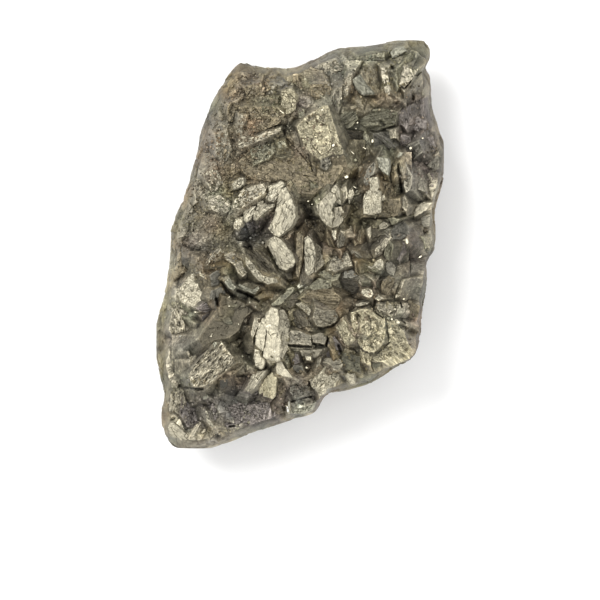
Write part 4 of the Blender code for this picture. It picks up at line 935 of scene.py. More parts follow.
    ([-60,316, -36,314, -42,294, -64,296], 130, 10, 1.2, "tan", 0.95, "folded"),
    ([-112,314, -78,322, -70,296, -104,286], 160, 10, 1.0, "brown", 1.05, "folded"),
    ([-146,276, -124,284, -122,250, -144,236], 170, 16, 1.0, "brown", 1.1, "folded"),
    ([-168,216, -146,224, -134,186, -150,158, -166,176], 180, 14, 1.0, "tan", 0.9, "folded"),
    ([-192,138, -166,152, -152,118, -174,98], 190, 12, 1.0, "tan", 1.2, "folded"),
    ([74,252, 90,262, 110,262, 116,248, 104,232, 84,224, 76,234], 330, 14, 1.2, "olive", 0.85, "striped"),
    ([84,312, 96,332, 102,334, 99,312, 92,290, 82,276], 190, 14, 2.8, "tan", 1.4, "rough"),
    ([84,312, 82,276, 76,258, 66,264, 62,286, 72,306], 340, 18, 2.2, "tan", 0.95, "striped"),
    ([180,344, 192,348, 194,328, 196,308, 188,292, 180,304], 190, 20, 1.8, "olive", 1.0, "plain"),
    ([190,316, 202,302, 214,310, 224,326, 234,346, 228,346, 216,324, 204,312], 260, 12, 2.8, "cream", 0.95,
     "plain"),
    ([222,252, 236,254, 250,244, 252,228, 242,218, 228,228, 220,240], 30, 8, 1.2, "violet", 1.15, "plain"),
    ([178,226, 190,228, 192,210, 180,208], 200, 10, 2.2, "tan", 1.15, "striped"),
    ([200,218, 220,214, 222,200, 204,198], 30, 12, 1.6, "violet", 1.05, "striped"),
    ([114,376, 140,384, 168,380, 170,364, 144,362, 116,362], 100, 10, 1.6, "olive", 1.05, "plain"),
    ([224,386, 244,390, 252,376, 246,356, 230,354], 20, 12, 2.0, "olive", 1.2, "plain"),
    ([20,46, 34,46, 46,36, 54,22, 50,6, 36,2, 24,14, 18,30], 240, 18, 3.2, "brown", 0.6, "striped"),
]

# Open cracks and gaps: their line in tenths of a millimetre, width and depth. Along each the tint is
# darkened as painted shade, and some of them stand only for the shadow under a ledge.
crevices = [
    ([-154,-78, -142,-96, -128,-108], 0.30, 1.3), ([9,72, 19,55, 29,39], 0.75, 1.2),
    ([-124,-93, -106,-101, -82,-114], 0.24, 1.0), ([-32,-201, 0,-204, 22,-205], 0.2, 0.7),
    ([26,-199, 48,-203], 0.18, 0.5), ([124,49, 172,50], 0.16, 0.5), ([-32,223, -30,216], 0.3, 0.8),
    ([-24,-318, -2,-309, 22,-304], 0.16, 0.5), ([-228,-287, -194,-289], 0.24, 0.6),
    ([148,-115, 145,-128, 152,-139, 164,-147], 0.20, 0.8), ([114,-143, 117,-152], 0.36, 1.3),
    ([-26,208, 0,179, 20,156, 25,144], 0.09, 0.22), ([16,178, 20,162, 24,152], 0.10, 0.25),
    ([8,135, 18,133], 0.10, 0.2), ([76,-202, 82,-216], 0.24, 0.8), ([56,-186, 52,-202], 0.2, 0.8),
    ([-70,-158, -74,-188, -73,-228], 0.16, 0.5), ([200,-118, 202,-126], 0.22, 0.8),
    ([202,-152, 208,-158], 0.26, 0.8), ([-104,2, -96,-12], 0.35, 1.0), ([-112,-6, -98,-8], 0.3, 0.8),
    ([182,352, 186,348], 0.24, 0.7), ([183,370, 202,376, 214,388], 0.16, 0.6),
    ([200,313, 207,307, 220,322], 0.14, 0.6), ([224,302, 226,290], 0.26, 0.9),
    ([160,244, 168,236], 0.3, 0.4), ([194,156, 198,130, 202,104], 0.26, 1.0),
    ([-166,-110, -162,-124], 0.26, 0.9), ([-258,-352, -252,-349], 0.22, 0.7),
    ([-140,-364, -104,-358], 0.18, 0.7),
]

# How each habit's front is worked: terraces (height, number, the two sizes of the waves that shape them
# and how dark their edges are, partly lamina lines and partly painted shade under each step), cells (long
# and wide size, their own tone, how far they bulge), cracks (width, darkness, how many are open), lumps,
# flecks, and how ragged and chipped its edge is.
habitParts = ("terrace", "levels", "along", "across", "line", "cell", "cellTone", "bulge", "crack",
              "crackDark", "open", "knobs", "fleck", "jag", "chip")
habits = {
    "bark": (0.15, 3.2, 4.0, 1.6, 0.3, (2.4, 0.8), 0.14, 0.06, 0.07, 0.65, 0.5, 0.07, 0.28, 0.2, 0.3),
    "plain": (0.1, 3.0, 3.4, 1.5, 0.3, (1.9, 0.9), 0.3, 0.04, 0.06, 0.5, 0.1, 0.12, 0.42, 0.12, 0.2),
    "rough": (0.16, 3.5, 1.6, 1.0, 0.3, (0.8, 0.6), 0.36, 0.14, 0.12, 0.45, 0.2, 0.18, 0.32, 0.3, 0.4),
    "crackled": (0.12, 5.0, 1.6, 1.1, 0.38, (1.8, 1.3), 0.2, 0.08, 0.07, 0.55, 0.2, 0.1, 0.2, 0.24, 0.35),
    "folded": (0.16, 5.0, 2.2, 0.9, 0.4, (1.6, 0.9), 0.3, 0.12, 0.08, 0.5, 0.4, 0.2, 0.28, 0.26, 0.3),
    "striped": (0.12, 5.0, 6.0, 0.7, 0.4, (3.5, 0.45), 0.4, 0.08, 0.08, 0.45, 0.4, 0.06, 0.34, 0.16, 0.2),
    "smooth": (0.08, 2.2, 3.0, 1.8, 0.14, (2.4, 1.5), 0.12, 0.05, 0.06, 0.6, 0.0, 0.09, 0.2, 0.24, 0.35),
    "layered": (0.22, 5.0, 2.6, 0.7, 0.5, (1.6, 0.5), 0.5, 0.15, 0.12, 0.5, 0.4, 0.2, 0.3, 0.26, 0.35),
    "wormy": (0.13, 7.0, 1.5, 1.3, 0.5, (1.4, 1.1), 0.16, 0.06, 0.07, 0.5, 0.1, 0.12, 0.24, 0.22, 0.35),
}
habits = {name: dict(zip(habitParts, values)) for name, values in habits.items()}

# Slabs of these tints also stand as closed pieces of their own, on a grid of this spacing.
paleTints = ("cream", "brass", "pale")
# On the slab pieces the walls are darkened as painted shade, raised places of the front lightened and low
# ones darkened as painted light and shade, and all of it darkened further below the top as painted shade.
slabGrid = {"spacing": 0.13, "wallRows": 16, "lamina": 0.5, "laminaStep": 0.12, "flare": 0.05,
            "wallShading": 0.72, "edgeShading": 0.22, "depthShading": 0.35}


def alongOutline(points, count):
    # Evenly spaced points on a polygon, corners kept sharp.
    closed = np.concatenate([points, points[:1]])
    walked = np.concatenate([[0.0], np.cumsum(np.hypot(*np.diff(closed, axis=0).T))])
    t = np.linspace(0.0, walked[-1], count, endpoint=False)
    return np.stack([np.interp(t, walked, closed[:, 0]), np.interp(t, walked, closed[:, 1])], axis=1)


def slopeOf(lean):
    # Rise over run of a front that leans so many degrees, a little steeper than it was read.
    return math.tan(math.radians(lean * 1.15 + 3.0))


def longWayOf(points, centre):
    # Direction in which an outline is longest: the first axis of its spread about the centre.
    return np.linalg.svd(points - centre, full_matrices=False)[2][0]


def alongAcross(x, y, centre, longWay):
    # How far each point lies from the centre along the long way, and across it.
    return ((x - centre[0]) * longWay[0] + (y - centre[1]) * longWay[1],
            (y - centre[1]) * longWay[0] - (x - centre[0]) * longWay[1])


def ownShift(seed):
    # Where in the noises a slab with this seed reads its own pattern.
    return np.array([seed * 7.13 % 50, seed * 3.91 % 50, seed * 5.57 % 50])


def frontTexture(along, across, habit, seed):
    # Relief and tone of a broken front in its own directions: stepped waves for the terraces, the gap
    # between the two nearest cell seeds for the cracks and bulges, noise for lumps and flecks.
    own = ownShift(seed)
    flat = onPlane(along, across)
    waves = layeredNoise(flat / (habit["along"], habit["across"], 1.0) + own, 4, seed + 5)
    stepping = waves * habit["levels"]
    within = stepping - np.floor(stepping)
    relief = (np.floor(stepping) + smoothStep(within * 3.0)) * habit["terrace"]
    edgeLine = np.exp(-(np.minimum(within, 1.0 - within) / 0.14) ** 2)
    bend = np.stack([layeredNoise(flat / 0.9 + own, 3, seed + 21),
                     layeredNoise(flat / 0.9 - own, 3, seed + 22), np.zeros_like(along)], axis=1)
    cells = flat / (habit["cell"] + (1.0,)) + own + bend * (0.45, 0.7, 0.0)
    first, second, _, cell = nearestCells(cells, seed + 2, True)
    gap = second - first
    opened = smoothStep(layeredNoise(flat / 0.9 + own, 2, seed + 27) * 3.0 + habit["open"])
    crack = np.exp(-(gap / habit["crack"]) ** 2) * opened
    fleck = layeredNoise(flat / 0.32 + own, 2, seed + 3)
    relief += habit["knobs"] * layeredNoise(flat / 0.8 + own, 3, seed + 11)
    relief += habit["bulge"] * np.minimum(gap, 0.5) - 0.14 * crack
    # The terrace edges are darkened: partly lamina lines, partly painted shade under each step.
    tone = (1.0 - habit["line"] * edgeLine) * (1.0 + 0.28 * waves) * (1.0 + habit["fleck"] * fleck)
    tone *= (1.0 - habit["crackDark"] * crack) * (1.0 + habit["cellTone"] * (cell[:, 0] - 0.5))
    return relief, tone, layeredNoise(flat / 1.1 + own, 2, seed + 17)


def slabPart(p, bearing, lean, top, depth, tintName, shade, habitName, seed):
    # Front: the outline shrunk towards its middle, on a tilted plane, with terraces, lumps and chips.
    # Walls: the outline carried down the slab's own axis, stepping in and out lamina by lamina.
    habit, spacing = habits[habitName], slabGrid["spacing"]
    if (p[:, 0] * np.roll(p[:, 1], -1) - np.roll(p[:, 0], -1) * p[:, 1]).sum() < 0:
        p = p[::-1]
    perimeter = np.hypot(*(np.roll(p, -1, 0) - p).T).sum()
    columns = max(int(perimeter / spacing), 14)
    edge = alongOutline(p, columns)
    centre = edge.mean(0)
    reach = np.hypot(*(edge - centre).T)
    rows = max(int(reach.max() / spacing), 5)
    wave = np.stack([edge[:, 0] * 1.5, edge[:, 1] * 1.5, np.full(columns, seed * 3.7)], axis=1)
    jag = habit["jag"] * (layeredNoise(wave, 4, seed) - 0.1)
    edge = centre + (edge - centre) * (1.0 + jag / np.maximum(reach, 0.5))[:, None]
    away = (edge - centre) / np.maximum(np.hypot(*(edge - centre).T), 1e-6)[:, None]

    # The slab's own directions: the long way of the outline, and the way its front faces.
    longWay = longWayOf(edge, centre)
    slope = slopeOf(lean)
    tiltWay = np.array([math.cos(math.radians(bearing)), math.sin(math.radians(bearing))])
    normal = np.array([tiltWay[0] * slope, tiltWay[1] * slope, 1.0])
    normal /= np.linalg.norm(normal)

    shrink = (np.arange(1, rows + 1) / rows) ** 0.8
    flat = centre + (edge - centre)[None] * shrink[:, None, None]
    flatX, flatY = flat[..., 0].ravel(), flat[..., 1].ravel()
    rise = top - slope * ((flatX - centre[0]) * tiltWay[0] + (flatY - centre[1]) * tiltWay[1])
    along, across = alongAcross(flatX, flatY, centre, longWay)
    rim = np.repeat(shrink, columns)
    relief, tone, chipped = frontTexture(along, across, habit, seed)
    relief -= habit["chip"] * rim ** 8 * smoothStep(chipped * 2.2) + 0.05 * rim ** 12
    front = np.stack([flatX, flatY, rise], axis=1) + normal * relief[:, None]
    front = front.reshape(rows, columns, 3)

    wallRows = slabGrid["wallRows"]
    down = (np.arange(1, wallRows + 1) / wallRows) ** 1.3 * depth
    wander = np.stack([edge[:, 0] * 0.4, edge[:, 1] * 0.4, edge[:, 0] * 0 + seed], 1)
    lamina = np.floor(down[:, None] / slabGrid["lamina"] + (0.8 * valueNoise(wander, seed + 4))[None])
    step = hashed(lamina, lamina * 0 + seed, lamina * 0, seed) - 0.5
    column = np.broadcast_to(np.arange(columns) * spacing * 0.9, lamina.shape).ravel()
    place = np.stack([column, lamina.ravel() * 1.7, lamina.ravel() * 0 + seed], 1)
    pieceMeal = valueNoise(place, seed + 8).reshape(lamina.shape)
    outwards = (step + 0.6 * pieceMeal) * slabGrid["laminaStep"] * 2.0
    outwards += down[:, None] * slabGrid["flare"]
    axis = -(normal * 0.75 + np.array([0.0, 0.0, 0.25]))
    wall = front[-1][None] + axis[None, None] * down[:, None, None]
    wall[..., :2] += away[None] * outwards[..., None]

    topPole = np.array([centre[0], centre[1], front[0, :, 2].mean()])
    mesh, quads, triangles = ringMesh(np.concatenate([front, wall]), topPole, wall[-1].mean(0))
    grain = np.stack([*alongAcross(mesh[:, 0], mesh[:, 1], centre, longWay), mesh[:, 2] - top], axis=1)
    grain = grain + ownShift(seed) * 4.0
    colour = np.broadcast_to(linear(tints[tintName]) * shade, (len(mesh), 3)).copy()
    frontCount = 1 + rows * columns
    # Painted shade: the walls are darker than the front.
    colour[frontCount:] *= slabGrid["wallShading"]
    tone *= 1.0 - 0.25 * smoothStep(chipped * 2.2) * rim ** 6
    colour[1:frontCount] *= np.clip(tone, 0.25, 1.35)[:, None]
    # Painted light and shade: raised places of the front lighter, low ones darker.
    edges = np.clip(cavity(relief.reshape(rows, columns), 2) / 0.10, -1.0, 1.0)
    colour[1:frontCount] *= (1.0 + slabGrid["edgeShading"] * edges).reshape(-1, 1)
    # Painted shade: darker further below the top.
    deep = smoothStep((top - mesh[:, 2] - 0.6) / 3.4)
    colour *= (1.0 - slabGrid["depthShading"] * deep)[:, None]
    return mesh, quads, triangles, colour, grain


# The flanks of slabs and facets: how far from the outline they are looked at, how steeply they fall on
# their gentle and steep sides, how far a facet lies under the slab piece that stands on it, how high a
# lamina is, how much of the listed height is used, how far below the face one is left out, and how much
# of its own tint a flank shows on pale and on other slabs.
flank = {"reach": 3.0, "gentle": 0.9, "steep": 2.6, "sink": 0.65, "lamina": 0.32, "stands": 0.68,
         "tooLow": -3.0, "paleOwn": 0.22, "own": 0.45}


def hullOf(points):
    # Convex hull, anticlockwise, by the two chains of the points in order of x.
    p = sorted(set(map(tuple, points)))
    chains = []
    for order in (p, p[::-1]):
        chain = []
        for q in order:
            while len(chain) > 1 and ((chain[-1][0] - chain[-2][0]) * (q[1] - chain[-2][1])
                                      - (chain[-1][1] - chain[-2][1]) * (q[0] - chain[-2][0])) <= 0:
                chain.pop()
            chain.append(q)
        chains += chain[:-1]
    return np.array(chains)


def nearestSide(x, y, starts, ends):
    # Square of the distance to the nearest of the straight sides from starts to ends.
    nearest = np.full(len(x), 1e9)
    for (ax, ay), (bx, by) in zip(starts, ends):
        ex, ey = bx - ax, by - ay
        t = np.clip(((x - ax) * ex + (y - ay) * ey) / (ex * ex + ey * ey), 0.0, 1.0)
        nearest = np.minimum(nearest, (x - ax - t * ex) ** 2 + (y - ay - t * ey) ** 2)
    return nearest


def outlineDistance(x, y, p):
    # Distance from the polygon, negative inside: the nearest of its sides, and how often a ray to the
    # right crosses them.
    ends = np.roll(p, -1, 0)
    inside = np.zeros(len(x), bool)
    for (ax, ay), (bx, by) in zip(p, ends):
        if ay != by:
            inside ^= ((ay > y) != (by > y)) & (x < ax + (y - ay) * (bx - ax) / (by - ay))
    return np.where(inside, -1.0, 1.0) * np.sqrt(nearestSide(x, y, p, ends))


def addFacets(x, y, relief, tint, grain):
    # Each facet is a tilted plane inside its outline; outside it falls away along the sides of its hull,
    # each side with a steepness of its own and a painted shade of its own. The highest of all of them is the
    # surface. A painted highlight runs just inside each outline, and the crevices darken the tint as painted
    # shade.
    base = faceLevel(x, y)
    ragged = 0.17 * layeredNoise(onPlane(x, y) / 0.8, 3, 301)
    local = tint.copy()
    listed = [slab[:4] + slab[5:] for slab in slabs.values()]
    for number, (tenths, bearing, lean, stands, tintName, shade, habitName) in enumerate(listed + facets):
        p = cornersOf(tenths)
        low, high = p.min(0) - flank["reach"], p.max(0) + flank["reach"]
        near = np.flatnonzero((x > low[0]) & (x < high[0]) & (y > low[1]) & (y < high[1]))
        if len(near) == 0:
            continue
        nx, ny = x[near], y[near]
        pale = number < len(listed) and tintName in paleTints
        centre = p.mean(0)
        level = levelAt(centre) + stands * flank["stands"] - (flank["sink"] if pale else 0.0)
        turn = math.radians(bearing)
        away = outlineDistance(nx, ny, p) + ragged[near]
        ahead = (nx - centre[0]) * math.cos(turn) + (ny - centre[1]) * math.sin(turn)
        height = level - slopeOf(lean) * ahead

        # The fall outside, partly in steps of one lamina.
        hull = hullOf(p)
        side = np.roll(hull, -1, 0) - hull
        out = np.stack([side[:, 1], -side[:, 0]], axis=1) / np.hypot(side[:, 0], side[:, 1])[:, None]
        roll = np.random.default_rng(number + 900).uniform(size=(len(hull), 2))
        steep = flank["gentle"] + (flank["steep"] - flank["gentle"]) * roll[:, 0]
        drops = ((nx[:, None] - hull[:, 0]) * out[:, 0] + (ny[:, None] - hull[:, 1]) * out[:, 1]) * steep
        facing = np.argmax(drops, axis=1)
        fall = np.maximum(np.maximum(drops.max(1), 0.0) + ragged[near] * 1.5, away)
        fall = np.where(away > 0.0, np.maximum(fall, 0.0), 0.0)
        layer = fall / flank["lamina"] + 2.0 * ragged[near]
        stepped = np.floor(layer) + smoothStep((layer - np.floor(layer)) * 2.2) - 2.0 * ragged[near]
        height = height - 0.4 * fall - 0.6 * np.where(fall > 0.0, stepped * flank["lamina"], 0.0)
        over = height - base[near]
        wins = over > relief[near]
        if over.max() < flank["tooLow"] or not wins.any():
            continue
        near, nx, ny, away, over, fall, facing = (v[wins] for v in (near, nx, ny, away, over, fall, facing))

        # Relief, tint and grain where this one is the highest.
        along, across = alongAcross(nx, ny, centre, longWayOf(p, centre))
        worked, tone, _ = frontTexture(along, across, habits[habitName], number + 3)
        inside = smoothStep(0.5 - away / 0.12)
        place = onPlane(nx, ny)
        relief[near] = over + worked * inside + 0.10 * layeredNoise(place / 0.7, 3, 313) * (1.0 - inside)
        own = linear(tints[tintName]) * shade
        # Painted highlight: a thin bright line just inside the outline.
        crestHighlight = np.exp(-((away + 0.05) / 0.11) ** 2) * smoothStep(ragged[near] * 12.0 + 0.3)
        front = own * (np.clip(tone, 0.3, 1.5) * (1.0 + 0.55 * crestHighlight))[:, None]
        lamina = np.floor(fall / flank["lamina"] * 1.7 + 3.0 * ragged[near] + along * 0.05)
        stripes = hashed(lamina, lamina * 0 + number, lamina * 0, 310) - 0.5
        pieces = valueNoise(np.stack([along * 0.9, lamina * 1.3, across * 0.9], axis=1), 311)
        speck = layeredNoise(place / 0.36, 2, 312)
        # Painted shade of each side, with lamina stripes and specks.
        flankShadeAndStripes = (0.62 + 0.58 * roll[:, 1])[facing] * (1.0 + 0.45 * stripes)
        flankShadeAndStripes = flankShadeAndStripes * (1.0 + 0.35 * pieces + 0.4 * speck)
        lit = flank["paleOwn"] if tintName in paleTints else flank["own"]
        wall = lit * np.minimum(own, linear(tints["tan"])) + (1.0 - lit) * local[near]
        wall = wall * flankShadeAndStripes[:, None]
        tint[near] = wall + (front - wall) * inside[:, None]
        grain[near] = np.stack([along, across, over], axis=1) + 11.0 * (number % 17)
    for tenths, width, deep in crevices:
        p = cornersOf(tenths)
        cut = np.exp(-nearestSide(x, y, p[:-1], p[1:]) / (width * (1.0 + 4.0 * ragged)) ** 2)
        relief -= deep * cut
        # Painted shade along the crevice.
        tint *= (1.0 - 0.6 * cut)[:, None]
    return relief, tint, grain


def makeSlabs(material):
    # The slabs of pale tints as closed pieces, in two groups: the upper and the lower half of the face.
    groups = {}
    for number, (tenths, bearing, lean, stands, depth, tintName, shade, habit) in enumerate(slabs.values()):
        if tintName not in paleTints:
            continue
        p = cornersOf(tenths)
        middle = p.mean(0)
        part = slabPart(p, bearing, lean, levelAt(middle) + stands * flank["stands"], depth, tintName, shade,
                        habit, number + 3)
        groups.setdefault("paleSlabsUpper" if middle[1] > 0 else "paleSlabsLower", []).append(part)
    for group, parts in groups.items():
        makePiece(group, parts, material)


# Chipped cubes on the grainy ground: how many, the random seed and their smallest and largest size.
grains = {"count": 4200, "seed": 77, "small": 0.18, "large": 0.46}
cubeCorners = np.array([(a, b, c) for a in (-1, 1) for b in (-1, 1) for c in (-1, 1)], float) / 2.0
cubeFaces = np.array([(0, 1, 3, 2), (4, 6, 7, 5), (0, 4, 5, 1), (2, 3, 7, 6), (0, 2, 6, 4), (1, 5, 7, 3)])


def randomTurns(rng, count):
    # Rotation matrices from random unit quaternions, all at once.
    q = rng.normal(size=(count, 4))
    w, x, y, z = (q / np.linalg.norm(q, axis=1, keepdims=True)).T
    rows = [1 - 2 * (y * y + z * z), 2 * (x * y - z * w), 2 * (x * z + y * w),
            2 * (x * y + z * w), 1 - 2 * (x * x + z * z), 2 * (y * z - x * w),
            2 * (x * z - y * w), 2 * (y * z + x * w), 1 - 2 * (x * x + y * y)]
    return np.stack(rows, axis=1).reshape(count, 3, 3)


def facePoints(faces):
    # All the points of the given pieces, in millimetres.
    places = []
    for item in faces:
        read = np.zeros(len(item.data.vertices) * 3)
        item.data.vertices.foreach_get("co", read)
        places.append(read.reshape(-1, 3) / mm)
    return np.concatenate(places)


def makeGrains(material, faces):
    # Chipped cubes sunk into the face where it is grainy, each cube's corners moved a little.
    rng = np.random.default_rng(grains["seed"])
    places = facePoints(faces)
    rho = np.hypot(places[:, 0], places[:, 1]) / outlineRadius(np.arctan2(places[:, 1], places[:, 0]))
    grainy = groundStrengths(places[:, 0], places[:, 1])[:, 3]
    places = places[(rho < 0.94) & (places[:, 2] > 14.0) & (rng.uniform(0.3, 1.4, len(places)) < grainy)]
    count = grains["count"]
    chosen = places[rng.integers(0, len(places), count)]
    chosen = chosen + rng.uniform(-0.2, 0.2, (count, 3)) - (0.0, 0.0, 0.08)
    size = rng.uniform(grains["small"], grains["large"], (count, 1)) * rng.uniform(0.6, 1.3, (count, 3))
    cubes = cubeCorners[None] * size[:, None] * (1 + rng.uniform(-0.2, 0.2, (count, 8, 3)))
    points = np.einsum("nij,nkj->nki", randomTurns(rng, count), cubes) + chosen[:, None]
    points = points.reshape(-1, 3)
    quads = (cubeFaces[None] + 8 * np.arange(count)[:, None, None]).reshape(-1, 4)
    # Random tones, with the brightest a painted glint.
    grainTonesAndGlints = rng.choice([0.7, 1.0, 1.3, 1.8], (count, 1), p=[0.3, 0.34, 0.28, 0.08])
    tint = np.repeat(np.minimum(stainedTint(chosen[:, 0], chosen[:, 1]) * grainTonesAndGlints, 0.8), 8, axis=0)
    makePiece("grains", [(points, quads, np.zeros((0, 3), int), tint, points)], material)


# Bright flakes that catch the light: middle, long and wide size, turn.
glints = [
    (11.4, 24.0, 0.5, 0.4, 20), (11.1, 22.9, 0.4, 0.3, 0), (12.7, 29.5, 0.5, 0.4, 50),
    (22.0, 19.0, 0.9, 0.6, 30), (14.4, 20.4, 0.9, 0.7, 70), (24.4, 21.0, 0.5, 0.4, 0),
    (9.2, 13.2, 1.1, 0.8, 40), (6.6, 19.4, 0.9, 0.7, 10), (1.6, 8.4, 0.5, 0.4, 0), (2.4, 7.8, 0.4, 0.3, 30),
    (3.8, 8.8, 0.4, 0.4, 0), (4.4, 26.4, 0.6, 0.5, 0), (8.2, 28.8, 0.5, 0.3, 60), (1.3, -24.6, 0.6, 0.5, 0),
    (-12.2, -16.0, 0.4, 0.3, 0), (-17.6, -18.4, 0.5, 0.3, 50), (-20.8, -13.6, 0.5, 0.4, 0),
    (-14.0, -12.4, 0.5, 0.3, 40), (-14.0, -10.6, 0.4, 0.3, 0), (20.6, -11.0, 0.5, 0.4, 0),
    (18.8, -13.0, 0.6, 0.4, 20), (18.2, -15.0, 0.7, 0.5, 0), (19.6, -15.6, 0.5, 0.4, 60),
    (10.4, 18.0, 1.1, 0.25, -45), (10.9, 11.1, 1.1, 0.2, -30), (12.8, 19.0, 1.4, 0.25, -35),
    (10.6, -14.8, 0.3, 1.3, 0), (23.9, -2.6, 0.9, 0.5, 40), (21.2, 0.4, 0.7, 1.3, 0),
    (-3.6, 26.1, 1.9, 0.25, -40),
]


def makeGlints(material, faces):
    # Thin six-cornered plates, nearly level, each on the highest point of the face under it.
    places = facePoints(faces)
    places = places[places[:, 2] > 12.0]
    parts = []
    turns = np.radians(np.arange(0, 360, 60))
    tilt = np.array([[0, 0, 0.25], [0, 0, -0.2], [0, 0, 0]])
    for number, (x, y, long, wide, turn) in enumerate(glints):
        under = places[np.hypot(places[:, 0] - x, places[:, 1] - y) < 0.45]
        if not len(under):
            continue
        ragged = 1.0 + 0.25 * np.sin(turns * 2.0 + number * 1.7)
        u, v = np.cos(turns) * long * 0.36 * ragged, np.sin(turns) * wide * 0.36 * ragged
        c, s = math.cos(math.radians(turn)), math.sin(math.radians(turn))
        ring = np.stack([x + u * c - v * s, y + u * s + v * c, u * 0], axis=1)
        top = ring + (0.0, 0.0, under[:, 2].max() + 0.04) + (ring - (x, y, 0.0)) @ tilt
        low = top - (0.0, 0.0, 1.2)
        mesh = ringMesh(np.stack([top, low]), top.mean(0), low.mean(0))
        tint = np.broadcast_to(linear(tints["cream"]) * 1.05, (len(mesh[0]), 3))
        parts.append((*mesh, tint, mesh[0] * 0.2))
    makePiece("glints", parts, material)


def addNode(tree, kind, settings=None, links=None):
    # One node with its settings and its incoming links, each from a socket or a node's first output.
    item = tree.nodes.new("ShaderNode" + kind)
    for key, value in (settings or {}).items():
        if isinstance(key, int) or key in item.inputs:
            item.inputs[key].default_value = value
        else:
            setattr(item, key, value)
    for socket, source in (links or {}).items():
        tree.links.new(source.outputs[0] if hasattr(source, "outputs") else source, item.inputs[socket])
    return item


def pyriteMaterial(name, look):
    # Pyrite: a pale brass-yellow metal whose broken crystals tarnish to brown and pewter. The tarnish
    # hides most of the mirror, so it shows soft metallic sheen on flat faces and small glints.
    material = bpy.data.materials.new(name)
    material.use_nodes = True
    tree = material.node_tree
    tree.nodes.clear()
    tint = addNode(tree, "Attribute", {"attribute_name": "tint"})
    grain = addNode(tree, "Attribute", {"attribute_name": "grain"})
    stretched = addNode(tree, "Mapping", {"Scale": look["stretch"]}, {"Vector": grain.outputs["Vector"]})
    patches = addNode(tree, "TexNoise", {"Scale": look["patch"], "Detail": 5.0, "Roughness": 0.62},
                      {"Vector": stretched})
    fine = addNode(tree, "TexNoise", {"Scale": look["fine"], "Detail": 3.0, "Roughness": 0.65},
                   {"Vector": stretched})
    contour = addNode(tree, "Math", {"operation": "MULTIPLY", 1: look["contours"]}, {0: patches})
    contour = addNode(tree, "Math", {"operation": "FRACT"}, {0: contour})
    contourLine = addNode(tree, "MapRange", {"From Min": 0.0, "From Max": look["lineWidth"],
                                             "To Min": look["lineDark"], "To Max": 1.0}, {"Value": contour})
    tone = addNode(tree, "MapRange", {"From Min": 0.3, "From Max": 0.7, "To Min": look["low"],
                                      "To Max": look["high"]}, {"Value": patches})
    speck = addNode(tree, "MapRange", {"From Min": 0.32, "From Max": 0.68, "To Min": look["speckLow"],
                                       "To Max": look["speckHigh"]}, {"Value": fine})
    shade = addNode(tree, "Math", {"operation": "MULTIPLY"}, {0: tone, 1: speck})
    shade = addNode(tree, "Math", {"operation": "MULTIPLY"}, {0: shade, 1: contourLine})
    colour = addNode(tree, "VectorMath", {"operation": "SCALE"}, {0: tint, "Scale": shade.outputs[0]})
    height = addNode(tree, "Math", {"operation": "MULTIPLY_ADD", 1: look["fineBump"]},
                     {0: fine, 2: contourLine})
    bump = addNode(tree, "Bump", {"Strength": look["bump"], "Distance": 0.0001}, {"Height": height})
    rough = addNode(tree, "MapRange", {"From Min": 0.3, "From Max": 0.7, "To Min": look["rough"] - 0.1,
                                       "To Max": look["rough"] + 0.1}, {"Value": patches})
    shader = addNode(tree, "BsdfPrincipled", {"Metallic": look["metallic"]},
                     {"Base Color": colour, "Roughness": rough, "Normal": bump})
    addNode(tree, "OutputMaterial", None, {"Surface": shader})
    return material


# Both read the grain attribute, in millimetres. Patches of 1 over 0.6 per millimetre are 1.7 mm wide, and
# specks of 1 over 4 per millimetre are 0.25 mm, about one pixel of the photograph. The rest: contour
# lines in a patch, their width and darkness, the range of tone, bumps, roughness and metallic.
looks = {
    "paleSlabs": {"stretch": (0.5, 1.2, 1.6), "patch": 0.6, "fine": 4.0, "contours": 16.0, "lineWidth": 0.22,
                  "lineDark": 0.62, "low": 0.88, "high": 1.1, "speckLow": 0.74, "speckHigh": 1.2,
                  "fineBump": 0.8, "bump": 0.5, "rough": 0.46, "metallic": 0.6},
    "rock": {"stretch": (1.0, 1.0, 1.0), "patch": 0.6, "fine": 4.0, "contours": 6.0, "lineWidth": 0.2,
             "lineDark": 0.85, "low": 0.78, "high": 1.25, "speckLow": 0.62, "speckHigh": 1.42,
             "fineBump": 1.0, "bump": 0.6, "rough": 0.44, "metallic": 0.58},
}


def floorMaterial():
    # Matt white paper: no pattern that the eye can see from here, only a faint unevenness.
    material = bpy.data.materials.new("matt paper")
    material.use_nodes = True
    tree = material.node_tree
    shader = tree.nodes["Principled BSDF"]
    place = addNode(tree, "TexCoord")
    cloud = addNode(tree, "TexNoise", {"Scale": 4.0, "Detail": 2.0}, {"Vector": place.outputs["Object"]})
    pale = addNode(tree, "MapRange", {"To Min": 0.90, "To Max": 0.93}, {"Value": cloud})
    grey = addNode(tree, "CombineColor", None, {0: pale, 1: pale, 2: pale})
    tree.links.new(grey.outputs[0], shader.inputs["Base Color"])
    shader.inputs["Roughness"].default_value = 0.9
    return material


# White paper in an even white room, a soft key light from the upper left and a weak fill opposite.
studio = {"floorSize": 3.0, "world": 0.98, "keyPower": 12.0, "keySize": 0.7, "keyPlace": (-0.55, 0.50, 0.95),
          "fillPower": 4.0, "fillSize": 1.2, "fillPlace": (0.8, -0.4, 0.9)}


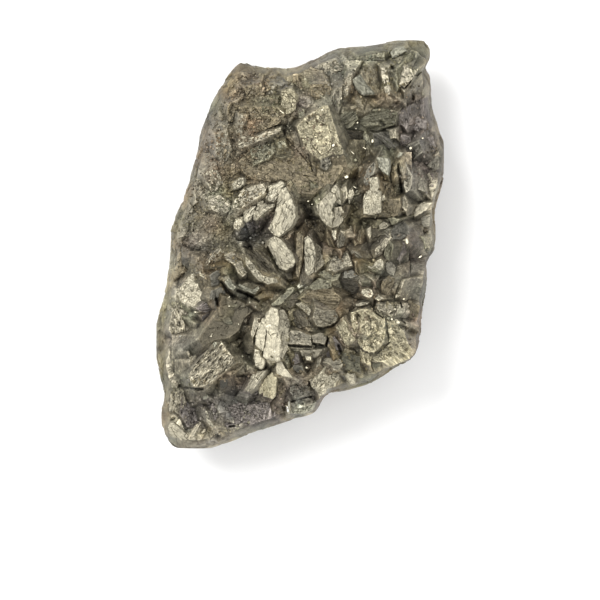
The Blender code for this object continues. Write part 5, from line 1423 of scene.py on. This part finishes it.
def areaLight(name, place, size, power):
    # A round soft light that looks at the origin.
    light = bpy.data.lights.new(name, "AREA")
    light.shape = "DISK"
    light.size = size
    light.energy = power
    item = bpy.data.objects.new(name, light)
    item.location = place
    item.rotation_euler = (-Vector(place)).to_track_quat("-Z", "Y").to_euler()
    bpy.context.scene.collection.objects.link(item)


def makeStudio():
    # The paper floor, the two lights and the even white world.
    half = studio["floorSize"] / 2
    mesh = bpy.data.meshes.new("floor")
    corners = [(-half, -half, 0), (half, -half, 0), (half, half, 0), (-half, half, 0)]
    mesh.from_pydata(corners, [], [(0, 1, 2, 3)])
    floor = bpy.data.objects.new("floor", mesh)
    floor.data.materials.append(floorMaterial())
    bpy.context.scene.collection.objects.link(floor)
    areaLight("key", studio["keyPlace"], studio["keySize"], studio["keyPower"])
    areaLight("fill", studio["fillPlace"], studio["fillSize"], studio["fillPower"])
    world = bpy.data.worlds.new("studio")
    world.use_nodes = True
    background = world.node_tree.nodes["Background"].inputs
    background["Color"].default_value = (1.0, 1.0, 1.0, 1.0)
    background["Strength"].default_value = studio["world"]
    bpy.context.scene.world = world
    bpy.context.scene.view_settings.view_transform = "Standard"


# The photograph looks straight at the crystal face: 5 pixels to a millimetre, and the middle of the
# lump's box stands 56 pixels above the middle of the picture.
photo = {"pixels": 600, "pixelSize": 0.2, "middleRow": 244, "distance": 0.9, "focusHeight": 0.016}


def makeCamera():
    # Straight down: a lens that shows the photograph's width at the height of the face.
    camera = bpy.data.cameras.new("camera")
    camera.sensor_width = 36.0
    across = photo["pixels"] * photo["pixelSize"] * mm
    camera.lens = camera.sensor_width * photo["distance"] / across
    item = bpy.data.objects.new("camera", camera)
    low = (photo["middleRow"] - photo["pixels"] / 2) * photo["pixelSize"] * mm
    item.location = (0.0, low, photo["focusHeight"] + photo["distance"])
    bpy.context.scene.collection.objects.link(item)
    bpy.context.scene.camera = item


makeCamera()
makeStudio()
materials = {name: pyriteMaterial(name, look) for name, look in looks.items()}
faces = makeLump(materials["rock"])
makeSlabs(materials["paleSlabs"])
makeGrains(materials["rock"], faces)
makeGlints(materials["paleSlabs"], faces)
